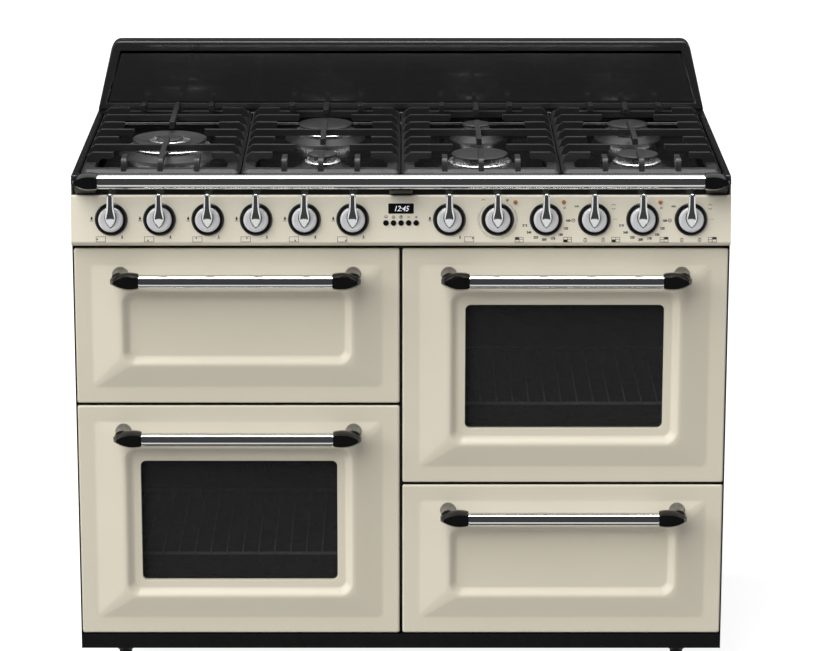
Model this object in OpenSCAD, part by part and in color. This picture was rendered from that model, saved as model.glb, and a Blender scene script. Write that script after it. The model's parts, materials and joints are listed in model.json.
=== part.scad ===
/* [Body] */
// Width over the side panels
body_w = 1100; // [1060:1:1160]
// Depth from the flat face of the doors to the rear panel
body_d = 600; // [590:1:650]
// Height of the feet under the base
foot_h = 66; // [60:1:120]
// Width of each foot's pad
foot_d = 44; // [36:1:56]
// How far the feet stand in from the sides
foot_in = 70; // [55:1:100]
// Thickness of the outer sheets
sheet = 1.2; // [1:0.1:1.5]
// Height of the black strip under the doors
plinth_h = 26; // [22:1:34]

/* [Doors] */
// Height of the door area, from the lowest edge to the highest
doors_h = 680.4; // [672:1:690]
// Height of the grill compartment's door
grill_h = 269.1; // [262:1:276]
// Height of the drawer's front
drawer_h = 266.4; // [262:1:276]
// Gap between one door and the next
door_gap = 4.5; // [4:0.1:6]
// Gap under the lowest doors
low_gap = 2; // [1.8:0.1:3]
// Gap between a door and the side panel
side_gap = 0.6; // [0.4:0.1:1]
// Gap between the two columns of doors
mid_gap = 4.8; // [4:0.2:7]
// Depth of a door's folded edge
door_d = 30; // [28:1:34]
// Thickness of a door's pressed skin
skin = 1.5; // [1.2:0.1:1.6]
// Thickness of a door's inner panel
inner_t = 6; // [5:0.5:7]
// Flat border round a door's raised field
border = 26; // [22:1:30]
// Rise of the field to its rim
rise = 12; // [8:0.5:14]
// Depth of the recess below the rim
sink = 17; // [14:0.5:19]
// Recess floor to the door's side edge
recess_side = 93; // [85:1:98]
// Recess floor to the door's top and bottom edges
recess_end = 84; // [80:1:88]
// Width of the rounded rim round the recess
rim_w = 12; // [10:0.5:14]
// Corner radius of the recess
recess_r = 14; // [10:1:18]
// Margin of the recess floor round the glass
glass_in = 13; // [10:1:16]
// Thickness of each glass pane
glass_t = 4; // [3:0.5:5]

/* [Handles] */
// Diameter of a handle bar
bar_d = 22.4; // [18:0.2:24]
// Length of a handle bar between its end caps
bar_len = 322; // [300:1:340]
// Height of the bar below the door's top edge
bar_drop = 45; // [42:1:50]
// Distance from the door's flat face to the bar's axis
bar_off = 50; // [44:1:56]
// Length of an end cap
cap_len = 47; // [42:1:52]
// Height of an end cap at its widest
cap_h = 29; // [25:0.5:30]
// Diameter of a handle post
post_d = 18; // [14:1:22]
// Diameter of the flange of a handle post
post_foot_d = 27; // [24:1:29]

/* [Controls] */
// Height of the control panel
panel_h = 85; // [83:1:90]
// How far the panel's lower edge stands out
panel_out = 17; // [15:0.5:19]
// How far the panel leans back, in degrees
panel_tilt = 7.8; // [6:0.2:9]
// Gap between the doors and the panel
panel_gap = 7; // [6:0.5:9]
// Distance from the side panel to the axis of the outermost knob
knob_side = 67; // [64:0.5:75]
// Height of the knobs' axes up the panel
knob_up = 46; // [45:0.5:48]
// Diameter of a knob's disc
knob_d = 42; // [38:0.5:44]
// Diameter of the fixed ring round a knob
ring_d = 55; // [52:0.5:58]
// Length of a lever above its knob's axis
lever_len = 47; // [40:1:50]
// Diameter of a tap spindle
spindle_d = 8; // [7:0.2:9]
// How far a gas knob pushes in
push = 3; // [2:0.2:3.4]
// Width of the timer's window
display_w = 42.6; // [38:0.2:48]
// Height of the timer's window
display_h = 17.3; // [14:0.2:19]
// Diameter of a timer button
button_d = 9.5; // [8:0.1:10.5]
// Distance between neighbouring timer buttons
button_pitch = 12.6; // [12:0.1:13.6]
// How far a timer button pushes in
button_push = 1.5; // [0.8:0.1:1.8]
// Diameter of an indicator lamp
lamp_d = 7.2; // [6:0.2:9]

/* [Hob] */
// Height of the hob tray's front
hob_h = 33; // [30:1:36]
// Depth of the well below the rim
well = 20; // [18:0.5:22]
// Width of the rim at the front and sides of the well
hob_rim = 12; // [11:0.5:15]
// Width of the rim behind the well
rear_rim = 24; // [18:0.5:28]
// Gap round each pan support in the well
support_gap = 2; // [1.5:0.5:4]
// Thickness of the pan supports' bars
support_bar = 9; // [8:0.5:11]
// Width of the pan supports' frame
support_frame_w = 22; // [18:1:26]
// Height of the pan supports' frame above the rim
support_low = 6; // [4:0.5:8]
// Height of the pan supports' fingers above the rim
support_up = 22.5; // [20:0.5:25]
// Distance of a burner from the middle of its support
burner_y = 128; // [124:1:132]
// Distance from a burner's axis to the tips round it
tip_r = 46; // [43:1:50]
// Diameter of the wok burner's cap
wok_d = 130; // [120:1:134]
// Diameter of a rapid burner's cap
rapid_d = 97; // [90:1:100]
// Diameter of a semi-rapid burner's cap
semi_d = 72; // [66:1:78]
// Diameter of an auxiliary burner's cap
aux_d = 51; // [46:1:56]
// Thickness of a burner's cap
burner_cap_t = 5; // [4:0.5:6]
// Depth of the backguard
guard_d = 40; // [36:1:48]
// Height of the backguard above the rim
guard_h = 125; // [100:1:150]
// How far the backguard narrows at its top, on each side
guard_taper = 29; // [20:1:40]

/* [Front rail] */
// Diameter of the front rail
rail_d = 24; // [20:0.5:26]
// Distance from the doors' face to the rail's axis
rail_off = 50; // [46:1:56]
// Length of the rail's end caps
rail_cap = 44; // [40:1:50]
// How far the end caps stop short of the sides
rail_in = 5; // [3:0.5:10]

/* [Inside] */
// Width of the oven mouths
mouth_w = 450; // [430:1:460]
// Frame below an oven's mouth
mouth_low = 50; // [47:1:54]
// Frame above an oven's mouth
mouth_top = 45; // [40:1:50]
// Depth of the front frame
frame_d = 18; // [14:1:24]
// Depth of the oven liners
liner_d = 420; // [390:1:450]
// Thickness of the oven liners
liner_t = 1.5; // [1:0.1:2]
// Width of the ledges that carry a rack
ledge = 6; // [5:0.5:8]
// Diameter of a rack's frame wire
rack_d = 6; // [5:0.5:7]
// Diameter of the gas inlet's bore
inlet_bore = 19; // [16:0.5:21]
// Depth of the gas inlet's bore
inlet_len = 16; // [12:1:20]
// Depth of the drawer's box
box_d = 440; // [400:1:460]
// Height of the drawer's box
box_h = 150; // [120:1:160]
// Thickness of the drawer's sheets
box_t = 1.5; // [1:0.1:2]

/* [Fits] */
// Play between parts that swing or slide past each other
play = 0.5; // [0.4:0.1:0.7]
// Radial clearance of a pin or spindle in its bore
fit = 0.05; // [0.03:0.01:0.08]
// Diameter of a hinge pin
pin_d = 5; // [4:0.2:5.4]
// Height of a hinge pin above its door's lower edge
pin_up = 18; // [17:0.5:20]
// Distance of a hinge pin behind the door's face
pin_in = 7; // [6.8:0.1:7.5]

/* [Hidden] */
$fn = 64;
eps = 0.01;
cream = [0.83, 0.8, 0.72];
black = [0.09, 0.09, 0.09];
iron = [0.16, 0.16, 0.16];
chrome = [0.8, 0.81, 0.82];
steel = [0.6, 0.61, 0.62];
orange = [0.75, 0.4, 0.15];

reach = rail_off + rail_d / 2;
face = -(body_d + reach) / 2 + reach;
rear = face + body_d;
inside_w = body_w - 2 * sheet;
doors_z = foot_h + plinth_h + low_gap;
doors_top = doors_z + doors_h;
door_w = (inside_w - mid_gap) / 2 - side_gap;
door_x = (door_w + mid_gap) / 2;
left_h = doors_h - grill_h - door_gap;
right_h = doors_h - drawer_h - door_gap;
grill_z = doors_top - grill_h;
right_z = doors_top - right_h;
door_back = door_d + inner_t;
seal_t = 5;
frame_y = face + door_back + play + seal_t;
liner_y = frame_y + frame_d;
seal_w = 8;
panel_z = doors_top + panel_gap;
hob_z = panel_z + panel_h;
rim_z = hob_z + hob_h;
well_z = rim_z - well;
tray_t = 2;

tongue_w = 6;
tongue_h = 9;
cheek_w = 6;
hinge_x = 190;
cap_depth = 22;
post_x = bar_len / 2 + 34;
post_socket = 3;
leaf_mid = 0.42;
leaf_tip = 3;
window_r = 9;
pane_r = 12;
inner_margin = 10;
rail_len = body_w - 2 * rail_in - 2 * rail_cap;
hook_w = 38;

ring_t = 5;
ring_gap = 0.8;
disc_low = push + 1;
disc_t = 10;
lever_t = 12;
lever_w = 18.8;
lever_wide_up = 9;
lever_foot = 11.7;
lever_end_r = 6;
knob_grip = 7;
panel_wall = 1.5;
valve_back = 46;
tap_floor = 6;
switch_depth = 21;
switch_w = 30;
switch_shaft_d = 6;
display_up = 18;
button_up = -6;
button_out = 2.2;
button_stem = 4;
lamp_up = 28.5;
lamp_side = 29.5;
gas_count = 7;
side_knobs = 6;
knob_pitch = (body_w / 2 - knob_side) / side_knobs;
pipe_d = 16;
pipe_y = face - panel_out + knob_up * sin(panel_tilt) + valve_back * cos(panel_tilt);
pipe_z = panel_z + knob_up * cos(panel_tilt) - valve_back * sin(panel_tilt);
inlet_x = -body_w / 2 + 26;
inlet_d = inlet_bore + 9;

support_count = 4;
support_pitch = (body_w - 2 * hob_rim - 2 * support_gap) / support_count;
support_w = support_pitch - support_gap;
support_d = body_d - guard_d - hob_rim - rear_rim - 2 * support_gap;
support_y = face + hob_rim + support_gap + support_d / 2;
support_t = 11;
support_edge = 6;
finger_in = 3;
finger_h = 11;
finger_x = 61;
crown_count = 24;
burner_step = [5.5, 16];
box_side = 12;
runner_t = 2;
runner_h = 14;
runner_reach = 9;
drawer_low = 30;
drawer_room = 20;
lip_z = doors_z + drawer_low + 8 + box_h;
box_w = mouth_w - 2 * box_side;
oven_levels = [60, 150];
grill_levels = [50];

// Corner points of the doors as [middle x, lower edge z, height]
left_box = [-door_x, doors_z, left_h];
grill_box = [-door_x, grill_z, grill_h];
right_box = [door_x, right_z, right_h];
drawer_place = [door_x, doors_z, drawer_h];

// Every burner as [x, y from the middle of its support, cap diameter]
burners = [
    [-1.5 * support_pitch, 0, wok_d],
    [-0.5 * support_pitch, burner_y, rapid_d],
    [-0.5 * support_pitch, -burner_y, aux_d],
    [0.5 * support_pitch, burner_y, aux_d],
    [0.5 * support_pitch, -burner_y, rapid_d],
    [1.5 * support_pitch, burner_y, semi_d],
    [1.5 * support_pitch, -burner_y, semi_d]
];

function knob_x(i) = (i <= side_knobs ? i - side_knobs - 1 : i - side_knobs) * knob_pitch;

// Turns a flat drawing upright and extrudes it forwards from y by t
module upright(y, t) {
    translate([0, y, 0]) rotate([90, 0, 0]) linear_extrude(t) children();
}

module rounded(w, h, r) {
    square([w - 2 * r, h], center = true);
    square([w, h - 2 * r], center = true);
    for (x = [-1, 1], z = [-1, 1])
        translate([x * (w / 2 - r), z * (h / 2 - r)]) circle(r);
}

// Block with a tapering section, used by the raised field and by the recess
module taper(w, h, r, y, w2, h2, r2, y2) {
    hull() {
        upright(y, eps) rounded(w, h, r, $fn = 24);
        upright(y2 + eps, eps) rounded(w2, h2, r2, $fn = 24);
    }
}

module at_door(box) {
    translate([box[0], face, box[1] + box[2] / 2]) children();
}

// Raised field grown or shrunk by g, used for the outside and for the hollow behind it
module field(h, g, back) {
    in_x = recess_side - rim_w;
    in_z = recess_end - rim_w;
    taper(door_w - 2 * border + g, h - 2 * border + g, 8, back,
          door_w - 2 * in_x + g, h - 2 * in_z + g, recess_r + rim_w / 2, -rise - g);
}

// Recess behind the rim, from depth start to its floor; grown by g for the sheet round it
module recess(h, g, start) {
    w = door_w - 2 * recess_side + 2 * g;
    floor_h = h - 2 * recess_end + 2 * g;
    taper(w + rim_w, floor_h + rim_w, recess_r + g, start, w, floor_h, recess_r - 2 + g,
          sink - rise + g - eps);
}

// Pressed door skin with folded edges, a raised field and a recess
module skin_shape(h) {
    difference() {
        union() {
            upright(door_d, door_d) square([door_w, h], center = true);
            field(h, 0, skin);
        }
        upright(door_d + 1, door_d + 1 - skin) square([door_w - 2 * skin, h - 2 * skin], center = true);
        field(h, -skin, skin + eps);
    }
}

module door_skin(box, window, hinged) {
    h = box[2];
    color(cream) at_door(box) difference() {
        union() {
            skin_shape(h);
            recess(h, skin, skin - rise);
        }
        recess(h, 0, -rise - 1);
        if (window)
            upright(door_d, door_d)
                rounded(door_w - 2 * recess_side - 2 * glass_in,
                        h - 2 * recess_end - 2 * glass_in, window_r);
        post_sockets(h);
        if (hinged)
            hinge_slots(h, tongue_w / 2 + play, skin, -1);
    }
}

// Holes in the skin that take the handle's posts
module post_sockets(h) {
    for (side = [-1, 1])
        translate([side * post_x, post_socket, h / 2 - bar_drop])
            rotate([90, 0, 0]) cylinder(d = post_foot_d + 2 * fit, h = post_socket + rise + 1);
}

// Slots at a door's lower edge that clear the hinge tongues while the door swings
module hinge_slots(h, half_w, from_y, low) {
    for (side = [-1, 1])
        translate([side * hinge_x - half_w, from_y, -h / 2 + low])
            cube([2 * half_w, door_back + 2, pin_up + tongue_h / 2 + play - low]);
}

// Inner door panel with cheeks that turn on the hinge pins
module door_inner(box, window) {
    h = box[2];
    window_w = door_w - 2 * recess_side;
    window_h = h - 2 * recess_end;
    color(black) at_door(box) difference() {
        union() {
            upright(door_back, inner_t) square([door_w - 2 * skin, h - 2 * skin], center = true);
            for (side = [-1, 1], edge = [-1, 1])
                translate([side * hinge_x + edge * (tongue_w / 2 + play + cheek_w / 2) - cheek_w / 2,
                           skin + play, -h / 2 + skin + play])
                    cube([cheek_w, door_back - skin - play, pin_up + tongue_h / 2 - skin - play]);
        }
        if (window)
            upright(door_back + 1, inner_t + 2)
                rounded(window_w - 2 * inner_margin, window_h - 2 * inner_margin, pane_r);
        hinge_slots(h, tongue_w / 2 + play, skin, -1);
        translate([0, pin_in, -h / 2 + pin_up]) rotate([0, 90, 0])
            cylinder(d = pin_d + 2 * fit, h = door_w, center = true);
    }
}

// Outer pane behind the recess floor and inner pane on the inner panel
module door_glass(box) {
    h = box[2];
    pane_w = door_w - 2 * recess_side - glass_in;
    pane_h = h - 2 * recess_end - glass_in;
    back = sink - rise + skin;
    color([0.1, 0.1, 0.1, 0.8]) at_door(box) {
        upright(back + glass_t, glass_t) rounded(pane_w, pane_h, pane_r);
        upright(door_d, glass_t) rounded(pane_w - glass_t, pane_h - glass_t, pane_r);
    }
}

module handle_bar(box) {
    color(chrome) at_door(box)
        translate([0, -bar_off, box[2] / 2 - bar_drop]) rotate([0, 90, 0])
            cylinder(d = bar_d, h = bar_len, center = true);
}

// Half outline of an end cap, along its length from the bar
function leaf(length, near, mid, far) = concat(
    [[0, 0]],
    [for (a = [0:10:90]) [near + (mid - near) * sin(a), length * leaf_mid * (1 - cos(a))]],
    [for (a = [10:10:80]) [far + (mid - far) * cos(a),
                           length * (leaf_mid + (1 - leaf_mid) * sin(a))]],
    [[far, length], [0, length]]
);

module end_cap(length, near, mid, far, depth) {
    intersection() {
        rotate([0, 90, 0]) rotate_extrude() polygon(leaf(length, near, mid, far));
        translate([0, -depth / 2, -mid]) cube([length, depth, 2 * mid]);
    }
}

module handle_ends(box) {
    color(black) at_door(box)
        translate([0, -bar_off, box[2] / 2 - bar_drop])
            for (side = [0, 1]) mirror([side, 0, 0]) {
                translate([bar_len / 2, 0, 0])
                    end_cap(cap_len, bar_d / 2, cap_h / 2, leaf_tip, cap_depth);
                handle_post();
            }
}

// Post from the end cap back into its socket in the door
module handle_post() {
    post_len = bar_off + post_socket - skin - cap_depth / 2;
    flange_t = 6;
    translate([post_x, cap_depth / 2, 0]) rotate([-90, 0, 0])
        rotate_extrude()
            polygon([[0, 0], [cap_h / 2 - 4, 0], [post_d / 2, flange_t],
                     [post_d / 2, post_len - 2 * flange_t], [post_foot_d / 2, post_len - flange_t],
                     [post_foot_d / 2, post_len], [0, post_len]]);
}

// Extrudes a drawing in the plane of depth and height along the width
module along(w) {
    translate([-w / 2, 0, 0]) rotate([90, 0, 90]) linear_extrude(w) children();
}

// Frame of the sloping panel: across, up the panel and out of it
module on_panel() {
    translate([0, face - panel_out, panel_z]) rotate([90 - panel_tilt, 0, 0]) children();
}

module at_knob(i) {
    on_panel() translate([knob_x(i), knob_up, 0]) children();
}

// Side panels and the rear panel, as three sheets
module outer_panels() {
    panel_top = hob_z - foot_h;
    vent_count = 12;
    vent_w = 180;
    vent_step = 12;
    vent_z = hob_z - 60;
    color(black) {
        for (side = [-1, 1])
            translate([side * (body_w - sheet) / 2 - sheet / 2, face, foot_h])
                cube([sheet, body_d, panel_top]);
        difference() {
            translate([play - inside_w / 2, rear - sheet, foot_h])
                cube([inside_w - 2 * play, sheet, panel_top]);
            for (column = [-1, 1], row = [0:vent_count - 1])
                translate([column * door_x - vent_w / 2, rear - 2 * sheet, vent_z - row * vent_step])
                    cube([vent_w, 3 * sheet, vent_step / 3]);
            translate([inlet_x, rear + 1, pipe_z]) rotate([90, 0, 0])
                cylinder(d = inlet_d + 2 * play, h = 4);
        }
    }
}

// Base tray, whose front wall is the black strip under the doors
module base_pan() {
    color(black) difference() {
        translate([-inside_w / 2, face + 1, foot_h]) cube([inside_w, body_d - 1 - sheet, plinth_h]);
        translate([-inside_w / 2 + sheet, face + 1 + sheet, foot_h + sheet])
            cube([inside_w - 2 * sheet, body_d - 1 - 3 * sheet, plinth_h]);
    }
}

function mouth_h(box) = box[2] - mouth_low - mouth_top;

// Front frame with the mouths of the compartments and the hinge tongues
module front_frame() {
    frame_z = foot_h + sheet;
    color(steel) {
        difference() {
            translate([-inside_w / 2 + sheet, frame_y, frame_z])
                cube([inside_w - 2 * sheet, frame_d, panel_z - frame_z]);
            for (box = [left_box, grill_box, right_box])
                translate([box[0] - mouth_w / 2, frame_y - 1, box[1] + mouth_low])
                    cube([mouth_w, frame_d + 2, mouth_h(box)]);
            translate([door_x - mouth_w / 2, frame_y - 1, doors_z + drawer_low])
                cube([mouth_w, frame_d + 2, box_h + drawer_room]);
        }
        for (box = [left_box, grill_box, right_box], side = [-1, 1])
            translate([box[0] + side * hinge_x, face + pin_in, box[1] + pin_up]) hinge_tongue();
    }
}

module hinge_tongue() {
    pin_len = tongue_w + 2 * play + 2 * cheek_w;
    translate([-tongue_w / 2, 0, -tongue_h / 2])
        cube([tongue_w, frame_y - face - pin_in, tongue_h]);
    rotate([0, 90, 0]) cylinder(d = tongue_h, h = tongue_w, center = true);
    rotate([0, 90, 0]) cylinder(d = pin_d, h = pin_len, center = true);
}

// Four levelling feet
module feet() {
    color(black)
        for (side = [-1, 1], y = [face + foot_in, rear - foot_in])
            translate([side * (body_w / 2 - foot_in), y, 0]) rotate_extrude()
                polygon([[0, 0], [foot_d / 2 - 1.5, 0], [foot_d / 2, 1.5], [foot_d / 2, 8],
                         [foot_d / 2 - 4, 12], [11, 14], [11, foot_h - 26], [14, foot_h - 24],
                         [14, foot_h], [0, foot_h]]);
}

// Enamelled tray with one well, open below the burners
module hob_tray() {
    well_d = support_d + 2 * support_gap;
    well_w = body_w - 2 * hob_rim;
    wall = 1.5;
    well_r = 16;
    color(black) difference() {
        translate([-body_w / 2, face, hob_z]) cube([body_w, body_d, hob_h]);
        translate([0, support_y, well_z]) linear_extrude(well + 1) rounded(well_w, well_d, well_r);
        translate([-body_w / 2 + wall, face + wall, hob_z - 1])
            cube([body_w - 2 * wall, body_d - 2 * wall, hob_h - well - tray_t + 1]);
        for (b = burners)
            translate([b[0], support_y + b[1], well_z - tray_t - 1])
                cylinder(r = b[2] / 4, h = tray_t + 2);
    }
}

module guard_outline(in) {
    w = body_w / 2 - in;
    top = w - guard_taper;
    h = guard_h - in;
    r = 12;
    polygon(concat([[-w, in], [w, in]],
        [for (a = [0:15:90]) [top - r + r * cos(a), h - r + r * sin(a)]],
        [for (a = [90:15:180]) [-top + r + r * cos(a), h - r + r * sin(a)]]));
}

// Upstand at the rear of the hob with a sunk panel and a hollow back
module backguard() {
    edge = 16;
    panel_sink = 2.5;
    wall = 2;
    color(black) translate([0, rear, rim_z]) difference() {
        rotate([90, 0, 0]) linear_extrude(guard_d) guard_outline(0);
        translate([0, panel_sink - guard_d, 0]) rotate([90, 0, 0]) linear_extrude(guard_d)
            guard_outline(edge);
        translate([0, 1, 0]) rotate([90, 0, 0]) linear_extrude(guard_d + 1 - panel_sink - wall)
            guard_outline(wall);
    }
}

module front_rail() {
    color(chrome) translate([0, face - rail_off, rim_z]) rotate([0, 90, 0])
        cylinder(d = rail_d, h = rail_len, center = true);
}

// End caps and centre bracket that carry the front rail
module rail_brackets() {
    block_y = face - rail_off + cap_depth / 2;
    block_w = 34;
    block_in = 3;
    hook_front = 5;
    color(black) {
        translate([0, face - rail_off, rim_z]) for (side = [0, 1]) mirror([side, 0, 0])
            translate([rail_len / 2, 0, 0])
                end_cap(rail_cap, rail_d / 2, cap_h / 2, leaf_tip, cap_depth);
        for (side = [-1, 1])
            translate([side * (body_w / 2 - rail_in - block_in - block_w / 2) - block_w / 2, block_y,
                       hob_z + block_in + 1])
                cube([block_w, face - block_y, hob_h - 2 * block_in - 1]);
        difference() {
            translate([-hook_w / 2, face - rail_off - hook_front, hob_z + 1])
                cube([hook_w, rail_off + hook_front, hob_h - rail_d / 2 + 4]);
            translate([0, face - rail_off, rim_z]) rotate([0, 90, 0])
                cylinder(d = rail_d, h = hook_w + 2, center = true);
        }
    }
}

function slope(z) = -panel_out + z * tan(panel_tilt);

// Folded sloping panel with every hole for the controls
module control_panel() {
    lip = 7;
    fold = 12;
    notch = inside_w / 2 - play;
    hole_cut = 8;
    wall_y = panel_wall / cos(panel_tilt);
    fold_top = panel_h - panel_wall;
    color(cream) difference() {
        translate([0, face, panel_z]) along(body_w)
            polygon([[fold, 0], [lip - panel_out, 0], [slope(lip), lip], [slope(panel_h), panel_h],
                     [fold, panel_h]]);
        translate([0, face, panel_z]) along(2 * (notch - panel_wall))
            polygon([[fold + 1, panel_wall], [lip - panel_out + panel_wall, panel_wall],
                     [slope(lip) + wall_y, lip], [slope(fold_top) + wall_y, fold_top],
                     [fold + 1, fold_top]]);
        for (side = [0, 1]) mirror([side, 0, 0])
            translate([notch, face - play, panel_z - 1]) cube([10, fold + 2, panel_h + 2]);
        for (i = [1:2 * side_knobs])
            at_knob(i) cylinder(d = spindle_d + 6, h = hole_cut, center = true);
        at_timer(0, display_up)
            cube([display_w + 2 * fit, display_h + 2 * fit, hole_cut], center = true);
        for (i = [-2:2])
            at_timer(i * button_pitch, button_up)
                cylinder(d = button_d + 2 * play, h = hole_cut, center = true);
        for (i = [8, 9, 11])
            at_lamp(i) cylinder(d = lamp_d + 2 * fit, h = hole_cut, center = true);
    }
}

module at_timer(x, up) {
    on_panel() translate([x, knob_up + up, 0]) children();
}

module at_lamp(i) {
    at_knob(i) translate([lamp_side, lamp_up, 0]) children();
}

// Fixed rings round the knobs
module knob_rings() {
    inner = knob_d / 2 + ring_gap;
    outer = ring_d / 2;
    color(black)
        for (i = [1:2 * side_knobs])
            at_knob(i) rotate_extrude()
                polygon([[inner, 0], [outer, 0], [outer, ring_t - 3], [outer - 1, ring_t - 1],
                         [outer - 2.5, ring_t], [inner + 1, ring_t], [inner, ring_t - 1]]);
}

// Timer with its window and button pockets, and the three lamps
module timer_and_lamps() {
    depth = 16;
    pocket = button_stem + button_push + play;
    timer_w = 5 * button_pitch + 8;
    margin = 10;
    timer_h = margin + display_up - button_up + display_h / 2 + 3;
    color(black) difference() {
        union() {
            at_timer(0, display_up) translate([0, 0, -panel_wall / 2 - 0.2])
                cube([display_w, display_h, panel_wall], center = true);
            at_timer(-timer_w / 2, button_up - margin) translate([0, 0, -panel_wall - depth])
                cube([timer_w, timer_h, depth]);
        }
        for (i = [-2:2])
            at_timer(i * button_pitch, button_up) translate([0, 0, -pocket])
                cylinder(d = button_d + 2 * play, h = pocket);
    }
    lamp_r = lamp_d / 2;
    base = -6;
    lamp_top = 2;
    color(orange)
        for (i = [8, 9, 11])
            at_lamp(i) rotate_extrude()
                polygon([[0, base], [lamp_r + 2, base], [lamp_r + 2, -panel_wall], [lamp_r, -panel_wall],
                         [lamp_r, lamp_top - 1], [lamp_r - 1.2, lamp_top - 0.2], [0, lamp_top]]);
}

// Gas taps on their supply pipe with its inlet, and the switches behind the oven knobs
module control_valves() {
    tap_d = spindle_d + 16;
    pipe_x = knob_x(gas_count) + tap_d;
    switch_t = 26;
    color(steel) difference() {
        union() {
            for (i = [1:gas_count])
                at_knob(i) translate([0, 0, -valve_back]) cylinder(d = tap_d, h = valve_back - panel_wall);
            translate([inlet_x, pipe_y, pipe_z]) {
                rotate([0, 90, 0]) cylinder(d = pipe_d, h = pipe_x - inlet_x);
                sphere(d = pipe_d);
                rotate([-90, 0, 0]) cylinder(d = pipe_d, h = rear - pipe_y - inlet_len);
            }
            translate([inlet_x, rear - sheet, pipe_z]) rotate([90, 0, 0])
                cylinder(d = inlet_d, h = inlet_len + 4);
        }
        for (i = [1:gas_count])
            at_knob(i) translate([0, 0, tap_floor - valve_back])
                cylinder(d = spindle_d + 2 * fit, h = valve_back);
        translate([inlet_x, rear, pipe_z]) rotate([90, 0, 0])
            cylinder(d = inlet_bore, h = inlet_len + sheet);
    }
    color(black)
        for (i = [gas_count + 1:2 * side_knobs])
            at_knob(i) difference() {
                translate([0, 0, -panel_wall - switch_t / 2])
                    cube([switch_w, switch_w, switch_t], center = true);
                translate([0, 0, -switch_depth - 3])
                    cylinder(d = switch_shaft_d + 2 * fit, h = switch_t + 4);
            }
}

module tap_spindle(i) {
    end = tap_floor - valve_back + push + play;
    color(steel) at_knob(i) translate([0, 0, end])
        cylinder(d = spindle_d, h = disc_low + knob_grip - end);
}

// Knob with a raised lever; gas knobs fit a spindle, the others have a shaft of their own
module knob(i) {
    gas = i <= gas_count;
    color(chrome) at_knob(i) difference() {
        union() {
            translate([0, 0, disc_low]) rotate_extrude()
                polygon([[0, 0], [knob_d / 2 - 1, 0], [knob_d / 2, 1], [knob_d / 2, disc_t - 4],
                         [knob_d / 2 - 1.5, disc_t - 1.5], [knob_d / 2 - 5, disc_t], [0, disc_t]]);
            translate([0, 0, disc_low + disc_t - 1]) lever();
            if (!gas)
                translate([0, 0, -switch_depth])
                    cylinder(d = switch_shaft_d, h = switch_depth + disc_low + 1);
        }
        if (gas)
            translate([0, 0, disc_low - 1])
                cylinder(d = spindle_d + 2 * fit, h = knob_grip + 1.2);
    }
}

// Leaf-shaped lever that widens from its pointed foot and rises to its free end
module lever() {
    hull() {
        lever_post(-lever_foot, 0.8, 0, 1.5);
        lever_post(lever_wide_up, lever_w / 2, 0, lever_t * 0.63);
    }
    hull() {
        lever_post(lever_wide_up, lever_w / 2, 0, lever_t * 0.63);
        lever_post(lever_len - lever_end_r, lever_end_r, lever_t * 0.12, lever_t);
    }
}

module lever_post(up, r, low, top) {
    translate([0, up, low]) cylinder(r = r, h = top - low, $fn = 32);
}

module timer_button(i) {
    color(black) at_timer((i - 3) * button_pitch, button_up) translate([0, 0, -button_stem])
        rotate_extrude()
            polygon([[0, 0], [button_d / 2, 0], [button_d / 2, button_stem + button_out - 0.8],
                     [button_d / 2 - 0.8, button_stem + button_out], [0, button_stem + button_out]]);
}

// Skirt, bright ring and ported crown of each burner, turned from one outline
module burner_bodies() {
    color([0.75, 0.75, 0.74])
        for (b = burners)
            translate([b[0], support_y + b[1], well_z]) burner_body(b[2] / 2);
}

module burner_body(r) {
    ring = r + burner_step[0];
    skirt = ring + burner_step[1];
    top = well + 7 - burner_cap_t + 1;
    crown = r - 3;
    difference() {
        rotate_extrude()
            polygon([[0, 0], [skirt, 0], [skirt, 1.5], [ring + 4, top - 14], [ring, top - 13],
                     [ring, top - 9], [r - 1, top - 6], [crown, top - 6], [crown, top], [0, top]]);
        for (a = [0:crown_count - 1])
            rotate([0, 0, a * 360 / crown_count]) translate([crown - 4, -1, top - 4])
                cube([6, 2, 5]);
    }
}

module burner_caps() {
    color(black)
        for (b = burners) {
            r = b[2] / 2;
            translate([b[0], support_y + b[1], well_z + well + 8 - burner_cap_t])
                rotate_extrude()
                    polygon(concat([[0, 0], [r - 1, 0]],
                        [for (a = [0:15:90]) [r - 1.5 + 1.5 * cos(a),
                                              burner_cap_t - 2.5 + 1.5 * sin(a)]],
                        [[0, burner_cap_t]]));
        }
}

// Finger of a pan support, from its root at the frame's outer edge to its tip
module finger(len) {
    up = support_up - support_low;
    foot = support_t - support_edge;
    inner = support_frame_w - finger_in;
    translate([0, support_bar / 2, rim_z + support_low]) rotate([90, 0, 0])
        linear_extrude(support_bar)
            polygon([[0, -foot], [0, -support_edge * 0.4], [4, up * 0.6], [12, up], [len, up],
                     [len, up - finger_h + 3], [len - 3, up - finger_h], [inner + 8, up - finger_h],
                     [inner - 1, -foot]]);
}

// Place of a finger: its root, and the way it points
module finger_at(x, y, turn, len) {
    translate([x, y, 0]) rotate([0, 0, turn]) finger(len);
}

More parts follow.
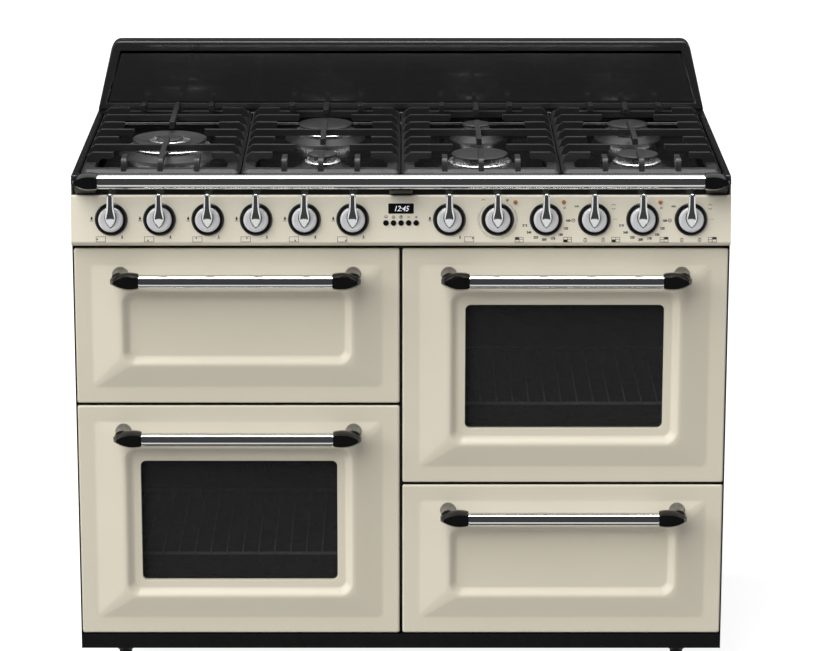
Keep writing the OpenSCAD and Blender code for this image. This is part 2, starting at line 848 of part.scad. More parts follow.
// Cast frame with a sloping outer edge, and the fingers that all supports share
module support_frame() {
    leg_d = 10;
    leg_in = 9;
    opening = 2 * support_frame_w;
    difference() {
        translate([0, 0, rim_z + support_low - support_t]) hull() {
            linear_extrude(support_t - support_edge)
                rounded(support_w, support_d, 12, $fn = 32);
            linear_extrude(support_t)
                rounded(support_w - 2 * support_edge, support_d - 2 * support_edge, 8, $fn = 32);
        }
        translate([0, 0, rim_z + support_low - support_t - 1]) linear_extrude(support_t + 2)
            rounded(support_w - opening, support_d - opening, 5, $fn = 32);
    }
    for (sx = [-1, 1], sy = [-1, 1])
        translate([sx * (support_w / 2 - leg_in), sy * (support_d / 2 - leg_in), well_z])
            cylinder(d = leg_d, h = well + support_low - support_edge);
    for (turn = [0, 180], x = [-finger_x, finger_x]) rotate([0, 0, turn])
        finger_at(x, support_d / 2 - finger_in, -90, 49);
}

// Support over two burners, or over one in the middle
module pan_support(single) {
    root = support_w / 2 - finger_in;
    end = support_d / 2 - finger_in;
    tip = single ? tip_r + 15 : tip_r;
    short_tip = 83;
    row = burner_y / 2;
    color(iron) union() {
        support_frame();
        for (turn = [0, 180]) rotate([0, 0, turn]) {
            for (y = single ? [0] : [-burner_y, burner_y])
                finger_at(-root, y, 0, root - tip);
            for (y = [-3 * row, -row, row, 3 * row])
                finger_at(-root, y, 0, root - short_tip);
            finger_at(0, end, -90, end - burner_y - (single ? 0 : tip));
        }
        for (y = single ? [-burner_y, burner_y] : [0]) {
            for (turn = [0, 180])
                translate([0, y, 0]) rotate([0, 0, turn]) finger_at(-root, 0, 0, root + 1);
            for (turn = single ? [y > 0 ? -90 : 90] : [-90, 90])
                translate([0, y, 0]) rotate([0, 0, turn]) bridge(burner_y - tip);
        }
    }
}

// Bar at finger height, pointing along +X from the middle of a full bar
module bridge(len) {
    translate([0, -support_bar / 2, rim_z + support_up - finger_h])
        cube([len, support_bar, finger_h]);
}

module pan_supports() {
    for (k = [0:support_count - 1])
        translate([(k - (support_count - 1) / 2) * support_pitch, support_y, 0]) pan_support(k == 0);
}

// Liner box with a flange behind the frame, side ledges and the door's seal
module liner(box, levels) {
    h = mouth_h(box);
    z = box[1] + mouth_low;
    t = liner_t;
    flange = 12;
    color([0.2, 0.2, 0.21]) translate([box[0], liner_y, z]) {
        difference() {
            union() {
                translate([-mouth_w / 2 - t, 0, -t]) cube([mouth_w + 2 * t, liner_d, h + 2 * t]);
                translate([-mouth_w / 2 - flange, 0, -flange])
                    cube([mouth_w + 2 * flange, t, h + 2 * flange]);
            }
            translate([-mouth_w / 2, -1, 0]) cube([mouth_w, liner_d - t + 1, h]);
        }
        for (level = levels, side = [0, 1]) mirror([side, 0, 0])
            translate([-mouth_w / 2, 10, level]) cube([ledge, liner_d - 20, 2]);
    }
    color([0.12, 0.12, 0.12]) translate([box[0], face + door_back + play, z + h / 2])
        difference() {
            upright(seal_t, seal_t)
                square([mouth_w + 2 * seal_w, h + 2 * seal_w], center = true);
            upright(seal_t + 1, seal_t + 2) square([mouth_w, h], center = true);
        }
}

module oven_liners() {
    liner(left_box, oven_levels);
    liner(right_box, oven_levels);
    liner(grill_box, grill_levels);
}

// Wire rack that lies on a pair of ledges
module rack(box, level) {
    w = mouth_w - 2 * play - rack_d;
    d = liner_d - 50;
    wires = 15;
    color(chrome)
        translate([box[0], liner_y + liner_d / 2, box[1] + mouth_low + level + 2 + rack_d / 2]) {
            for (side = [-1, 1]) {
                translate([side * w / 2, 0, 0]) rotate([90, 0, 0])
                    cylinder(d = rack_d, h = d, center = true, $fn = 24);
                translate([0, side * (d - rack_d) / 2, 0]) rotate([0, 90, 0])
                    cylinder(d = rack_d, h = w, center = true, $fn = 24);
            }
            for (i = [1:wires])
                translate([(i / (wires + 1) - 0.5) * w, 0, 0]) rotate([90, 0, 0])
                    cylinder(d = rack_d / 2, h = d - rack_d, center = true, $fn = 24);
        }
}

module oven_racks() {
    rack(left_box, oven_levels[0]);
    rack(right_box, oven_levels[0]);
    rack(grill_box, grill_levels[0]);
}

// Angle runners fixed behind the frame, on both sides of the drawer
module drawer_runners() {
    color(steel)
        for (side = [0, 1])
            translate([door_x, liner_y, lip_z - box_t - play - runner_h]) mirror([side, 0, 0]) {
                translate([box_w / 2 + play, 0, runner_h - runner_t])
                    cube([box_side + 6 - play, box_d - 20, runner_t]);
                translate([mouth_w / 2 + 6 - runner_t, 0, 0])
                    cube([runner_t, box_d - 20, runner_h]);
            }
}

// Open steel box with hanging lips, closed in front by the plate behind the drawer's front
module drawer_box() {
    plate_h = drawer_h - 2 * skin;
    t = box_t;
    color(steel) {
        translate([door_x, face + door_d, doors_z + drawer_h / 2]) upright(t, t)
            square([door_w - 2 * skin, plate_h], center = true);
        translate([door_x - box_w / 2, face + door_d + t, lip_z - box_h]) difference() {
            union() {
                cube([box_w, box_d, box_h]);
                translate([-runner_reach, 0, box_h - t])
                    cube([box_w + 2 * runner_reach, box_d, t]);
            }
            translate([t, t, t]) cube([box_w - 2 * t, box_d - 2 * t, box_h]);
        }
    }
}

outer_panels();
base_pan();
front_frame();
feet();
hob_tray();
backguard();
front_rail();
rail_brackets();
control_panel();
knob_rings();
timer_and_lamps();
control_valves();
burner_bodies();
burner_caps();
pan_supports();
oven_liners();
oven_racks();
drawer_runners();
door_skin(drawer_place, false, false);  // drawer_front
drawer_box();
handle_bar(drawer_place);  // drawer_handle
handle_ends(drawer_place);  // drawer_handle_ends
door_skin(left_box, true, true);  // left_oven_door
door_inner(left_box, true);  // left_oven_inner
door_glass(left_box);  // left_oven_glass
handle_bar(left_box);  // left_oven_handle
handle_ends(left_box);  // left_oven_handle_ends
door_skin(right_box, true, true);  // right_oven_door
door_inner(right_box, true);  // right_oven_inner
door_glass(right_box);  // right_oven_glass
handle_bar(right_box);  // right_oven_handle
handle_ends(right_box);  // right_oven_handle_ends
door_skin(grill_box, false, true);  // grill_door
door_inner(grill_box, false);  // grill_inner
handle_bar(grill_box);  // grill_handle
handle_ends(grill_box);  // grill_handle_ends
for (i = [1:12]) knob(i);
for (i = [1:7]) tap_spindle(i);
for (i = [1:5]) timer_button(i);
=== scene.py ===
import json
import math

import bmesh
import bpy
from mathutils import Matrix, Vector

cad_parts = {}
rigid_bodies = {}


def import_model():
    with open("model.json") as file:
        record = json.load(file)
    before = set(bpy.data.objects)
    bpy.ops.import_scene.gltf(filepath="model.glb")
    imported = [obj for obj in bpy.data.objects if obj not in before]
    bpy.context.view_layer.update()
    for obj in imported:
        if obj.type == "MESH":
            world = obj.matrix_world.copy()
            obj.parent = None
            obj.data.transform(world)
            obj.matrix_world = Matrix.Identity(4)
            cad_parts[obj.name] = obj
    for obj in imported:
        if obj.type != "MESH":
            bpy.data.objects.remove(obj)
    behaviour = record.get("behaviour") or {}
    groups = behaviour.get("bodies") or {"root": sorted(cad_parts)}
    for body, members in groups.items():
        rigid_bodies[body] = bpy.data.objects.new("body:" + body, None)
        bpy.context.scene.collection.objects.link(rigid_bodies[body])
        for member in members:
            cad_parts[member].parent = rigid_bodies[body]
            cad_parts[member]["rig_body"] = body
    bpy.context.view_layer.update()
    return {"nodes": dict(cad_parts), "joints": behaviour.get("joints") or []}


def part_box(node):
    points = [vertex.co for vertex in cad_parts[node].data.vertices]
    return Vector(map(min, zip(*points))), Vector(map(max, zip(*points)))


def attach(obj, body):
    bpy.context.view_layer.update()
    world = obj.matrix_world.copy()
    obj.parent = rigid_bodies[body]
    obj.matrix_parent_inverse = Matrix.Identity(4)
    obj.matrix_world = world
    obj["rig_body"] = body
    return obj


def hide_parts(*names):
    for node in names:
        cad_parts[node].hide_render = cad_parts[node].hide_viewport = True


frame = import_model()
cadNodes = frame["nodes"]
mm = 0.001
print("frame loaded:", len(cadNodes), "nodes")

# Shader maths: a Wire is an output socket that can stand in a sum or a product


class Wire:
    def __init__(self, finish, socket):
        self.finish = finish
        self.socket = socket

    def maths(self, operation, first, second):
        return self.finish.node("ShaderNodeMath", {"operation": operation}, {0: first, 1: second})

    def __add__(self, other):
        return self.maths("ADD", self, other)

    __radd__ = __add__

    def __sub__(self, other):
        return self.maths("SUBTRACT", self, other)

    def __rsub__(self, other):
        return self.maths("SUBTRACT", other, self)

    def __mul__(self, other):
        return self.maths("MULTIPLY", self, other)

    __rmul__ = __mul__

    def __gt__(self, other):
        return self.maths("GREATER_THAN", self, other)

    def __lt__(self, other):
        return self.maths("LESS_THAN", self, other)

    def larger(self, other):
        return self.maths("MAXIMUM", self, other)

    def ramp(self, start, end, low, high):
        limits = {"Value": self, "From Min": start, "From Max": end, "To Min": low, "To Max": high}
        return self.finish.node("ShaderNodeMapRange", None, limits)


class Finish:
    def __init__(self, name, colour, roughness, metallic=0.0, **others):
        self.material = bpy.data.materials.new(name)
        self.material.use_nodes = True
        self.tree = self.material.node_tree
        self.shader = self.tree.nodes["Principled BSDF"]
        self.set("Base Color", colour)
        self.set("Roughness", roughness)
        self.set("Metallic", metallic)
        for socket, value in others.items():
            self.set(socket.replace("_", " "), value)

    def plug(self, value, socket):
        if isinstance(value, Wire):
            self.tree.links.new(value.socket, socket)
        else:
            socket.default_value = value

    def set(self, socket, value):
        self.plug(value, self.shader.inputs[socket])

    def node(self, kind, settings=None, inputs=None, output=0):
        made = self.tree.nodes.new(kind)
        for name, value in (settings or {}).items():
            setattr(made, name, value)
        for socket, value in (inputs or {}).items():
            self.plug(value, made.inputs[socket])
        return Wire(self, made.outputs[output])

    def place(self):
        return self.node("ShaderNodeTexCoord", output="Object")

    def noise(self, scale, detail=2.0):
        return self.node("ShaderNodeTexNoise", None, {"Vector": self.place(), "Scale": scale, "Detail": detail})

    def cells(self, scale, output="Distance"):
        return self.node("ShaderNodeTexVoronoi", None, {"Vector": self.place(), "Scale": scale}, output)

    def blend(self, share, first, second):
        return self.node("ShaderNodeMix", {"data_type": "RGBA"}, {0: share, 6: first, 7: second}, 2)

    def gloss(self, low, high, scale):  # a roughness that wanders between two values
        self.set("Roughness", low + self.noise(scale) * (high - low))

    def bump(self, height, depth, strength):
        inputs = {"Height": height, "Distance": depth, "Strength": strength}
        self.set("Normal", self.node("ShaderNodeBump", None, inputs))


def srgb(red, green, blue):
    shares = [value / 255 for value in (red, green, blue)]
    return (*[s / 12.92 if s < 0.04045 else ((s + 0.055) / 1.055) ** 2.4 for s in shares], 1)


def grey(level, blue=0):  # an even grey, a little bluer or warmer
    return srgb(level, level, level + blue)


def creamEnamel(name, red, green, blue):
    made = Finish(name, srgb(red, green, blue), 0.3, Coat_Weight=0.25, Coat_Roughness=0.12)
    cloud = made.noise(4)
    light, deep = (srgb(red + step, green + step, blue + step) for step in (3, -2))
    made.set("Base Color", made.blend(cloud, deep, light))
    made.gloss(0.26, 0.36, 45)
    made.bump(made.noise(420, 1.0), 0.03 * mm, 0.35)  # faint orange peel of fired enamel
    return made.material


def blackEnamel(name, level):
    made = Finish(name, grey(level, 1), 0.1, Coat_Weight=0.4, Coat_Roughness=0.04)
    fleck = made.cells(900) < 0.12
    made.set("Base Color", made.blend(fleck * 0.5, grey(level - 1, 1), grey(level + 23, 2)))
    made.gloss(0.1, 0.2, 30)
    made.bump(made.noise(260, 1.0), 0.03 * mm, 0.1)
    return made.material


def satinBlack(name, level, low, high, grain, depth, specular=0.5):
    made = Finish(name, grey(level), low, Specular_IOR_Level=specular)
    made.set("Base Color", made.blend(made.noise(60), grey(level - 5), grey(level + 5, 1)))
    made.gloss(low, high, 25)
    made.bump(made.noise(grain, 4.0), depth * mm, 0.6)
    return made.material


def castIron():
    made = Finish("castIron", grey(29), 0.36)
    worn = made.noise(14, 3.0)
    made.set("Base Color", made.blend(worn, grey(24, 1), grey(36)))
    made.gloss(0.3, 0.44, 90)
    made.bump(made.noise(700, 3.0), 0.15 * mm, 0.4)  # sand-cast skin under satin enamel
    return made.material


def chromePlate():
    made = Finish("chromePlate", (0.86, 0.87, 0.88, 1), 0.06, 1.0)
    made.gloss(0.05, 0.1, 18)
    return made.material


def rackNickel():
    made = Finish("rackNickel", (0.8, 0.8, 0.79, 1), 0.3, 0.3)
    made.gloss(0.24, 0.4, 60)
    made.bump(made.noise(300), 0.02 * mm, 0.3)
    return made.material


def satinMetal(name, colour, low, high, lines, depth, metallic=1.0):
    made = Finish(name, colour, low, metallic)
    across = made.node("ShaderNodeUVMap", {"uv_map": "turn"})
    grain = made.node("ShaderNodeMapping", None, {"Vector": across, "Scale": lines})
    fine = made.node("ShaderNodeTexNoise", None, {"Vector": grain, "Scale": 1.0, "Detail": 2.0})
    made.set("Roughness", low + fine * (high - low))
    made.bump(fine, depth * mm, 0.5)
    return made.material


def zincSteel():
    made = Finish("zincSteel", (0.5, 0.51, 0.52, 1), 0.4, 1.0)
    spangle = made.cells(70, "Color")
    made.set("Base Color", made.blend(0.12, (0.5, 0.51, 0.52, 1), spangle))
    made.gloss(0.34, 0.54, 50)
    made.bump(made.cells(70), 0.05 * mm, 0.2)
    return made.material


def ovenEnamel():
    made = Finish("ovenEnamel", grey(38, 2), 0.25, Coat_Weight=0.3)
    speck = made.cells(380) < 0.16
    made.set("Base Color", made.blend(speck, grey(34, 3), grey(120, 4)))
    made.gloss(0.2, 0.35, 40)
    made.bump(made.noise(240), 0.05 * mm, 0.3)
    return made.material


def darkGlass():
    made = Finish("darkGlass", grey(50, 1), 0.03, Alpha=0.32, Specular_IOR_Level=0.2)
    made.gloss(0.02, 0.05, 6)
    made.material.surface_render_method = "BLENDED"
    return made.material


def ink(name, level):
    made = Finish(name, grey(level, -2), 0.5)
    made.set("Base Color", made.blend(made.noise(500), grey(level - 6, -2), grey(level + 6, -2)))
    return made.material


def orangeLens():
    made = Finish("orangeLens", srgb(160, 84, 48), 0.2, Coat_Weight=0.4, Emission_Strength=0.04)
    glow = made.noise(900)
    made.set("Base Color", made.blend(glow, srgb(150, 88, 44), srgb(172, 108, 62)))
    made.set("Emission Color", srgb(220, 130, 50))
    return made.material


def litDigits():
    made = Finish("litDigits", srgb(230, 232, 236), 0.4, Emission_Strength=0.5)
    made.set("Emission Color", srgb(235, 238, 245))
    return made.material


finishes = {
    "cream": creamEnamel("creamEnamel", 207, 200, 182),
    # Painted light: the same cream enamel made lighter, standing in for the brighter light on the tilted control
    # panel
    "panel": creamEnamel("panelCreamPaintedLight", 221, 214, 196),
    "black": blackEnamel("blackEnamel", 17),
    # Painted reflection: the same black enamel made lighter, standing in for the surroundings the backguard reflects
    "guard": blackEnamel("guardBlackPaintedReflection", 36),
    "sheet": satinBlack("blackSheet", 16, 0.4, 0.55, 900, 0.05, 0.25),
    "plastic": satinBlack("blackPlastic", 13, 0.05, 0.1, 500, 0.01),
    "foot": satinBlack("footPlastic", 22, 0.4, 0.6, 1500, 0.08),
    "cap": satinBlack("capEnamel", 30, 0.34, 0.5, 900, 0.06),
    "skirt": satinBlack("skirtEnamel", 24, 0.35, 0.45, 900, 0.04, 0.3),
    "iron": castIron(),
    "chrome": chromePlate(),
    "knob": satinMetal("satinChrome", (0.7, 0.7, 0.71, 1), 0.42, 0.5, (2, 900, 1), 0.01, 0.3),
    "post": satinMetal("satinPost", (0.3, 0.3, 0.3, 1), 0.3, 0.42, (3, 500, 1), 0.02),
    "alloy": satinMetal("turnedAlloy", (0.9, 0.9, 0.89, 1), 0.16, 0.4, (60, 300, 1), 0.06),
    "zinc": zincSteel(),
    "oven": ovenEnamel(),
    "glass": darkGlass(),
    "rack": rackNickel(),
    "ink": ink("panelPrint", 24),
    "lens": orangeLens(),
    "digits": litDigits(),
}
print("finishes made:", len(finishes))

# Shapes: each is a bmesh in its own plane, x across, y up, z out towards the viewer


def upright(x, y, z):  # the plane of the doors, out towards the front
    return Matrix(((1, 0, 0, x), (0, 0, -1, y), (0, 1, 0, z), (0, 0, 0, 1)))


def onAxis(point, axis):  # z along the axis, x kept across
    out = Vector(axis).normalized()
    up = out.cross(Vector((1, 0, 0)))
    across = up.cross(out)
    return Matrix.Translation(point) @ Matrix((across, up, out)).transposed().to_4x4()


def roundedRing(bm, width, height, radius, z, perCorner=7, middle=(0, 0)):
    count = 4 * perCorner
    half = math.pi / count
    spun = Matrix.Rotation(half, 4, "Z")
    made = bmesh.ops.create_circle(bm, segments=count, radius=radius / math.cos(half), matrix=spun)
    for vert in made["verts"]:
        vert.co.x += math.copysign(width / 2 - radius, vert.co.x) + middle[0]
        vert.co.y += math.copysign(height / 2 - radius, vert.co.y) + middle[1]
        vert.co.z = z
    return list({edge for vert in made["verts"] for edge in vert.link_edges})


def bridged(bm, rings):
    for first, second in zip(rings, rings[1:]):
        bmesh.ops.bridge_loops(bm, edges=first + second)


def near(radius, height, *offsets):  # points of a profile, each so many millimetres from one corner
    return [(radius + across * mm, height + up * mm) for across, up in offsets]


def turned(profile, segments=48, closed=False):  # an outline of (radius, height) turned about z
    bm = bmesh.new()
    layer = bm.loops.layers.uv.new("turn")
    verts = [bm.verts.new((radius, 0, height)) for radius, height in profile]
    edges = [bm.edges.new(pair) for pair in zip(verts, verts[1:])]
    if closed:
        edges.append(bm.edges.new((verts[-1], verts[0])))
    bmesh.ops.spin(bm, geom=verts + edges, cent=(0, 0, 0), axis=(0, 0, 1), angle=2 * math.pi,
                   steps=segments, use_merge=True)
    bmesh.ops.remove_doubles(bm, verts=bm.verts, dist=0.01 * mm)
    bmesh.ops.recalc_face_normals(bm, faces=bm.faces)
    for face in bm.faces:
        middle = face.calc_center_median()
        turn = math.atan2(middle.y, middle.x)
        for loop in face.loops:
            co = loop.vert.co
            angle = math.atan2(co.y, co.x) if co.xy.length > 0.01 * mm else turn
            angle += 2 * math.pi * round((turn - angle) / (2 * math.pi))
            loop[layer].uv = (angle / (2 * math.pi), co.xy.length + abs(co.z))
    return bm


def rounded(bm, geom, radius, steps, affect="EDGES"):
    bmesh.ops.bevel(bm, geom=geom, offset=radius, segments=steps, profile=0.5, affect=affect, material=-1)


def thickened(bm, way, **settings):  # the flat faces so far are extruded along a way
    made = bmesh.ops.extrude_face_region(bm, geom=list(bm.faces), **settings)
    moved = [part for part in made["geom"] if isinstance(part, bmesh.types.BMVert)]
    bmesh.ops.translate(bm, verts=moved, vec=way)
    bmesh.ops.recalc_face_normals(bm, faces=bm.faces)


def outlined(points, depth, edge=0.0, steps=3):  # a flat outline given thickness and rounded edges
    bm = bmesh.new()
    bm.faces.new([bm.verts.new((x, y, 0)) for x, y in points])
    thickened(bm, (0, 0, depth), use_keep_orig=True)
    if edge:
        level = 1e-7
        rounded(bm, [e for e in bm.edges if abs(e.verts[0].co.z - e.verts[1].co.z) < level], edge, steps)
    return bm


def placed(bm, place):
    bm.transform(place)
    if place.determinant() < 0:
        bmesh.ops.reverse_faces(bm, faces=bm.faces)
    bm.normal_update()
    return bm


def linked(name, data):
    made = bpy.data.objects.new(name, data)
    bpy.context.scene.collection.objects.link(made)
    return made


def piece(name, parts, finish, body, replaced=(), weighted=True, wall=0.0, sharp=40):
    whole = bmesh.new()
    whole.loops.layers.uv.new("turn")
    for part in parts:
        scratch = bpy.data.meshes.new("scratch")
        part.to_mesh(scratch)
        part.free()
        whole.from_mesh(scratch)
        bpy.data.meshes.remove(scratch)
    mesh = bpy.data.meshes.new(name)
    whole.to_mesh(mesh)
    whole.free()
    mesh.materials.append(finishes[finish])
    mesh.shade_smooth()
    mesh.set_sharp_from_angle(angle=math.radians(sharp))
    made = linked(name, mesh)
    if wall:
        shell = made.modifiers.new("wall", "SOLIDIFY")
        shell.thickness = wall
        shell.offset = -1
    if weighted:
        made.modifiers.new("shading", "WEIGHTED_NORMAL").keep_sharp = True
    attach(made, body)
    if replaced:
        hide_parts(*replaced)
    return made


def refined(name, node, finish, edge, steps):  # a CAD part with its sharp edges softened
    bm = bmesh.new()
    bm.from_mesh(cadNodes[node].data)
    bmesh.ops.remove_doubles(bm, verts=bm.verts, dist=0.01 * mm)
    bmesh.ops.dissolve_limit(bm, angle_limit=math.radians(1), verts=bm.verts, edges=bm.edges)
    made = piece(name, [bm], finish, cadNodes[node]["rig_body"], [node], weighted=False, sharp=35)
    soft = made.modifiers.new("edge", "BEVEL")
    soft.width = edge
    soft.segments = steps
    soft.limit_method = "ANGLE"
    soft.angle_limit = math.radians(35)
    made.modifiers.new("shading", "WEIGHTED_NORMAL").keep_sharp = True
    return made


def eased(share, ease=0.12):  # a straight ramp from 0 to 1 whose two ends are rounded
    if share < ease:
        return share * share / (2 * ease * (1 - ease))
    if share > 1 - ease:
        return 1 - eased(1 - share, ease)
    return (share - ease / 2) / (1 - ease)


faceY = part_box("outer_panels")[0].y

# Doors and drawer front: pressed enamelled skins with a raised field and a recess

skin = {
    "wall": 1.5 * mm,
    "paintedShadeDepth": 6 * mm,  # faces whose middle lies further back are painted black: painted shade in the deep gaps around the doors
    "fold": 30 * mm,
    "band": 3.6 * mm,
    "foldRadius": 3.4 * mm,
    "border": 26 * mm,
    "crestSide": 79 * mm,
    "crestEnd": 70 * mm,
    "floorSide": 94 * mm,
    "floorEnd": 85 * mm,
    "sink": 10 * mm,
    "windowSide": 106 * mm,
    "windowEnd": 97 * mm,
    "lip": 5.5 * mm,
    "borderCorner": 7 * mm,
    "fieldCorner": 8 * mm,
    "crestCorner": 23 * mm,
    "floorCorner": 12 * mm,
    "windowCorner": 9 * mm,
    "hinge": 190 * mm,
    "slot": 3.5 * mm,
    "slotTop": 0.5 * mm,  # above the door's foot
    "slotFront": 1.7 * mm,
}


def hingeSlots(bm, height):  # gaps in the lower fold that clear the hinge tongues as the door swings
    def lowerFold():
        middles = [(face, face.calc_center_median()) for face in bm.faces]
        top = skin["slotTop"] - height / 2
        return [face for face, at in middles if at.y < top and at.z < -skin["slotFront"]]

    for side in (-1, 1):
        for edge in (-1, 1):
            faces = lowerFold()
            rims = list({rim for face in faces for rim in face.edges})
            corners = list({corner for face in faces for corner in face.verts})
            bmesh.ops.bisect_plane(bm, geom=faces + rims + corners, dist=0.001 * mm,
                                   plane_co=(side * skin["hinge"] + edge * skin["slot"], 0, 0), plane_no=(1, 0, 0))
    gaps = [face for face in lowerFold() if abs(abs(face.calc_center_median().x) - skin["hinge"]) < skin["slot"]]
    bmesh.ops.delete(bm, geom=gaps, context="FACES")


def between(first, second, share):
    return first + (second - first) * share


def doorSkin(node, body, windowed):
    low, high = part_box(node)
    width, height = high.x - low.x, high.z - low.z
    rise = faceY - low.y
    sections = [(0, 0, skin["foldRadius"], -depth) for depth in (skin["fold"], skin["band"])]
    for step in range(7):  # rounded fold between the edge and the flat border
        turn = step / 6 * math.pi / 2
        inset = skin["foldRadius"] * (1 - math.cos(turn))
        sections.append((inset, inset, skin["foldRadius"] + inset, skin["foldRadius"] * (math.sin(turn) - 1)))
    flatEdge = skin["border"] * 0.95
    sections.append((flatEdge, flatEdge, skin["borderCorner"], 0.02 * mm))
    for share in (0.01, 0.03, 0.06, 0.09, 0.12, 0.3, 0.5, 0.7, 0.88, 0.91, 0.94, 0.97):  # slope of the field
        sections.append((between(skin["border"], skin["crestSide"], share),
                         between(skin["border"], skin["crestEnd"], share),
                         between(skin["fieldCorner"], skin["crestCorner"], share), rise * eased(share)))
    for step in range(15):  # rim and wall of the recess in one soft curve
        share = step / 14
        fall = (1 - math.cos(math.pi * share)) / 2
        sections.append((between(skin["crestSide"], skin["floorSide"], share),
                         between(skin["crestEnd"], skin["floorEnd"], share),
                         between(skin["crestCorner"], skin["floorCorner"], share), rise - skin["sink"] * fall))
    floor = rise - skin["sink"]
    if windowed:
        window = (skin["windowSide"], skin["windowEnd"], skin["windowCorner"])
        sections.append((window[0] - 1 * mm, window[1] - 1 * mm, window[2] + 1 * mm, floor - 0.02 * mm))
        sections += [(*window, floor - 0.6 * mm), (*window, -skin["lip"])]
    bm = bmesh.new()
    rings = [roundedRing(bm, width - 2 * side, height - 2 * end, radius, z)
             for side, end, radius, z in sections]
    bridged(bm, rings)
    if not windowed:
        bmesh.ops.contextual_create(bm, geom=rings[-1])
    bmesh.ops.recalc_face_normals(bm, faces=bm.faces)
    if body != "drawer":
        hingeSlots(bm, height)
    middle = (low + high) / 2
    placed(bm, upright(middle.x, faceY, middle.z))
    front = min(bm.faces, key=lambda face: face.calc_center_median().y)
    if front.normal.y > 0:
        bmesh.ops.reverse_faces(bm, faces=bm.faces)
    made = piece(node + "_skin", [bm], "cream", body, [node], wall=skin["wall"], sharp=60)
    # Painted shade: past this depth the cream skin's folded edge gets the black sheet finish, so the gaps read dark
    made.data.materials.append(finishes["sheet"])
    for face in made.data.polygons:
        face.material_index = int(face.center.y > faceY + skin["paintedShadeDepth"])


for node in ("left_oven_door", "right_oven_door", "grill_door", "drawer_front"):
    doorSkin(node, node.replace("_front", ""), "oven" in node)
print("doors made")

# Handles: polished bars, leaf-shaped black ends and satin posts

handle = {
    "neck": 1.2 * mm,
    "capDepth": 22 * mm,
    "capHeight": 29 * mm,
    "capEdge": 0.7 * mm,
    "capFront": 10 * mm,
    "capRear": 4 * mm,
    "facet": (0.9, 0.74),  # its length and height as shares of the cap's
    "tip": 3.6 * mm,
    "widest": 0.36,
    "taper": 2.1,
    "post": 10.5 * mm,
    "postAt": 34 * mm,
    "postIn": 2 * mm,
    "flange": 14 * mm,
}


def leafOutline(length, start, widest, tip):  # half height along the cap, from the bar to the rounded tip
    upper = []
    for step in range(9):
        turn = step / 8 * math.pi / 2
        upper.append((length * handle["widest"] * (1 - math.cos(turn)), between(start, widest, math.sin(turn))))
    for step in range(1, 11):
        share = step / 10
        upper.append((length * between(handle["widest"], 1, share), between(widest, tip, share ** handle["taper"])))
    return upper + [(x, -y) for x, y in reversed(upper)]


def leafCap(length, barRadius):
    outline = leafOutline(length, barRadius, handle["capHeight"] / 2, handle["tip"])
    bm = outlined(outline, handle["capDepth"])
    for face in [face for face in bm.faces if abs(face.normal.z) > 0.9]:
        bevel = handle["capFront"] if face.normal.z > 0 else -handle["capRear"]
        ring = bmesh.ops.inset_region(bm, faces=[face], thickness=handle["capEdge"])
        for corner in face.verts:  # the flat front is a slimmer leaf, the bevel falls away from it
            corner.co = Vector((corner.co.x * handle["facet"][0], corner.co.y * handle["facet"][1], corner.co.z))
        for corner in {corner for side in ring["faces"] for corner in side.verts} - set(face.verts):
            corner.co.z -= bevel
    bmesh.ops.translate(bm, verts=bm.verts, vec=(0, 0, -handle["capDepth"] / 2))
    return bm


def barAlong(length, radius):  # a polished tube with a fine neck at each end
    neck = handle["neck"]
    half = [(0, 0), (radius - neck, 0), (radius - neck, neck), (radius - 0.3 * mm, neck), (radius, 2 * neck)]
    bm = turned(half + [(reach, length - along) for reach, along in reversed(half)], 64)
    return placed(bm, Matrix.Translation((-length / 2, 0, 0)) @ Matrix.Rotation(math.pi / 2, 4, "Y"))


def handlePost(reach):
    post, flange = handle["post"], handle["flange"]
    profile = [(0, 0)] + near(post, 0, (2.5, 0), (0.8, 3), (0, 7)) + near(post, reach, (0, -15), (0.8, -12))
    profile += near(flange, reach, (-1.6, -8.5), (0, -6), (0, 0)) + [(0, reach)]
    return turned(profile, 40)


def doorHandle(prefix, body):
    low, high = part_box(prefix + "_handle")
    middle = (low + high) / 2
    radius, length = (high.z - low.z) / 2, high.x - low.x
    endLow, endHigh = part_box(prefix + "_handle_ends")
    capLength = (endHigh.x - endLow.x - length) / 2
    here = Matrix.Translation(middle)
    piece(prefix + "_bar", [placed(barAlong(length, radius), here)], "chrome", body,
          [prefix + "_handle"], sharp=50)
    caps, posts = [], []
    for side in (-1, 1):
        flip = Matrix.Diagonal((side, 1, 1, 1))
        stand = here @ flip @ Matrix.Translation((length / 2, 0, 0))
        caps.append(placed(leafCap(capLength, radius), stand @ upright(0, 0, 0)))
        reach = endHigh.y - middle.y - handle["capDepth"] / 2 + handle["postIn"]
        start = Matrix.Translation((length / 2 + handle["postAt"], handle["capDepth"] / 2 - handle["postIn"], 0))
        back = Matrix.Rotation(-math.pi / 2, 4, "X")
        posts.append(placed(handlePost(reach), here @ flip @ start @ back))
    piece(prefix + "_caps", caps, "plastic", body, [prefix + "_handle_ends"], sharp=60)
    piece(prefix + "_posts", posts, "post", body, [prefix + "_handle_ends"])


for body in ("left_oven_door", "right_oven_door", "grill_door", "drawer"):
    doorHandle(body.replace("_door", ""), body)
print("handles made")

# Front rail with its end caps, blocks and centre bracket

railLow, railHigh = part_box("front_rail")
railMiddle = (railLow + railHigh) / 2
railRadius = (railHigh.z - railLow.z) / 2
railLength = railHigh.x - railLow.x
bracketLow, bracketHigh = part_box("rail_brackets")
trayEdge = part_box("hob_tray")[1].x
rail = {"block": 34 * mm, "blockIn": 25 * mm, "blockHeight": 26 * mm, "hook": 38 * mm, "hookHeight": 25 * mm}


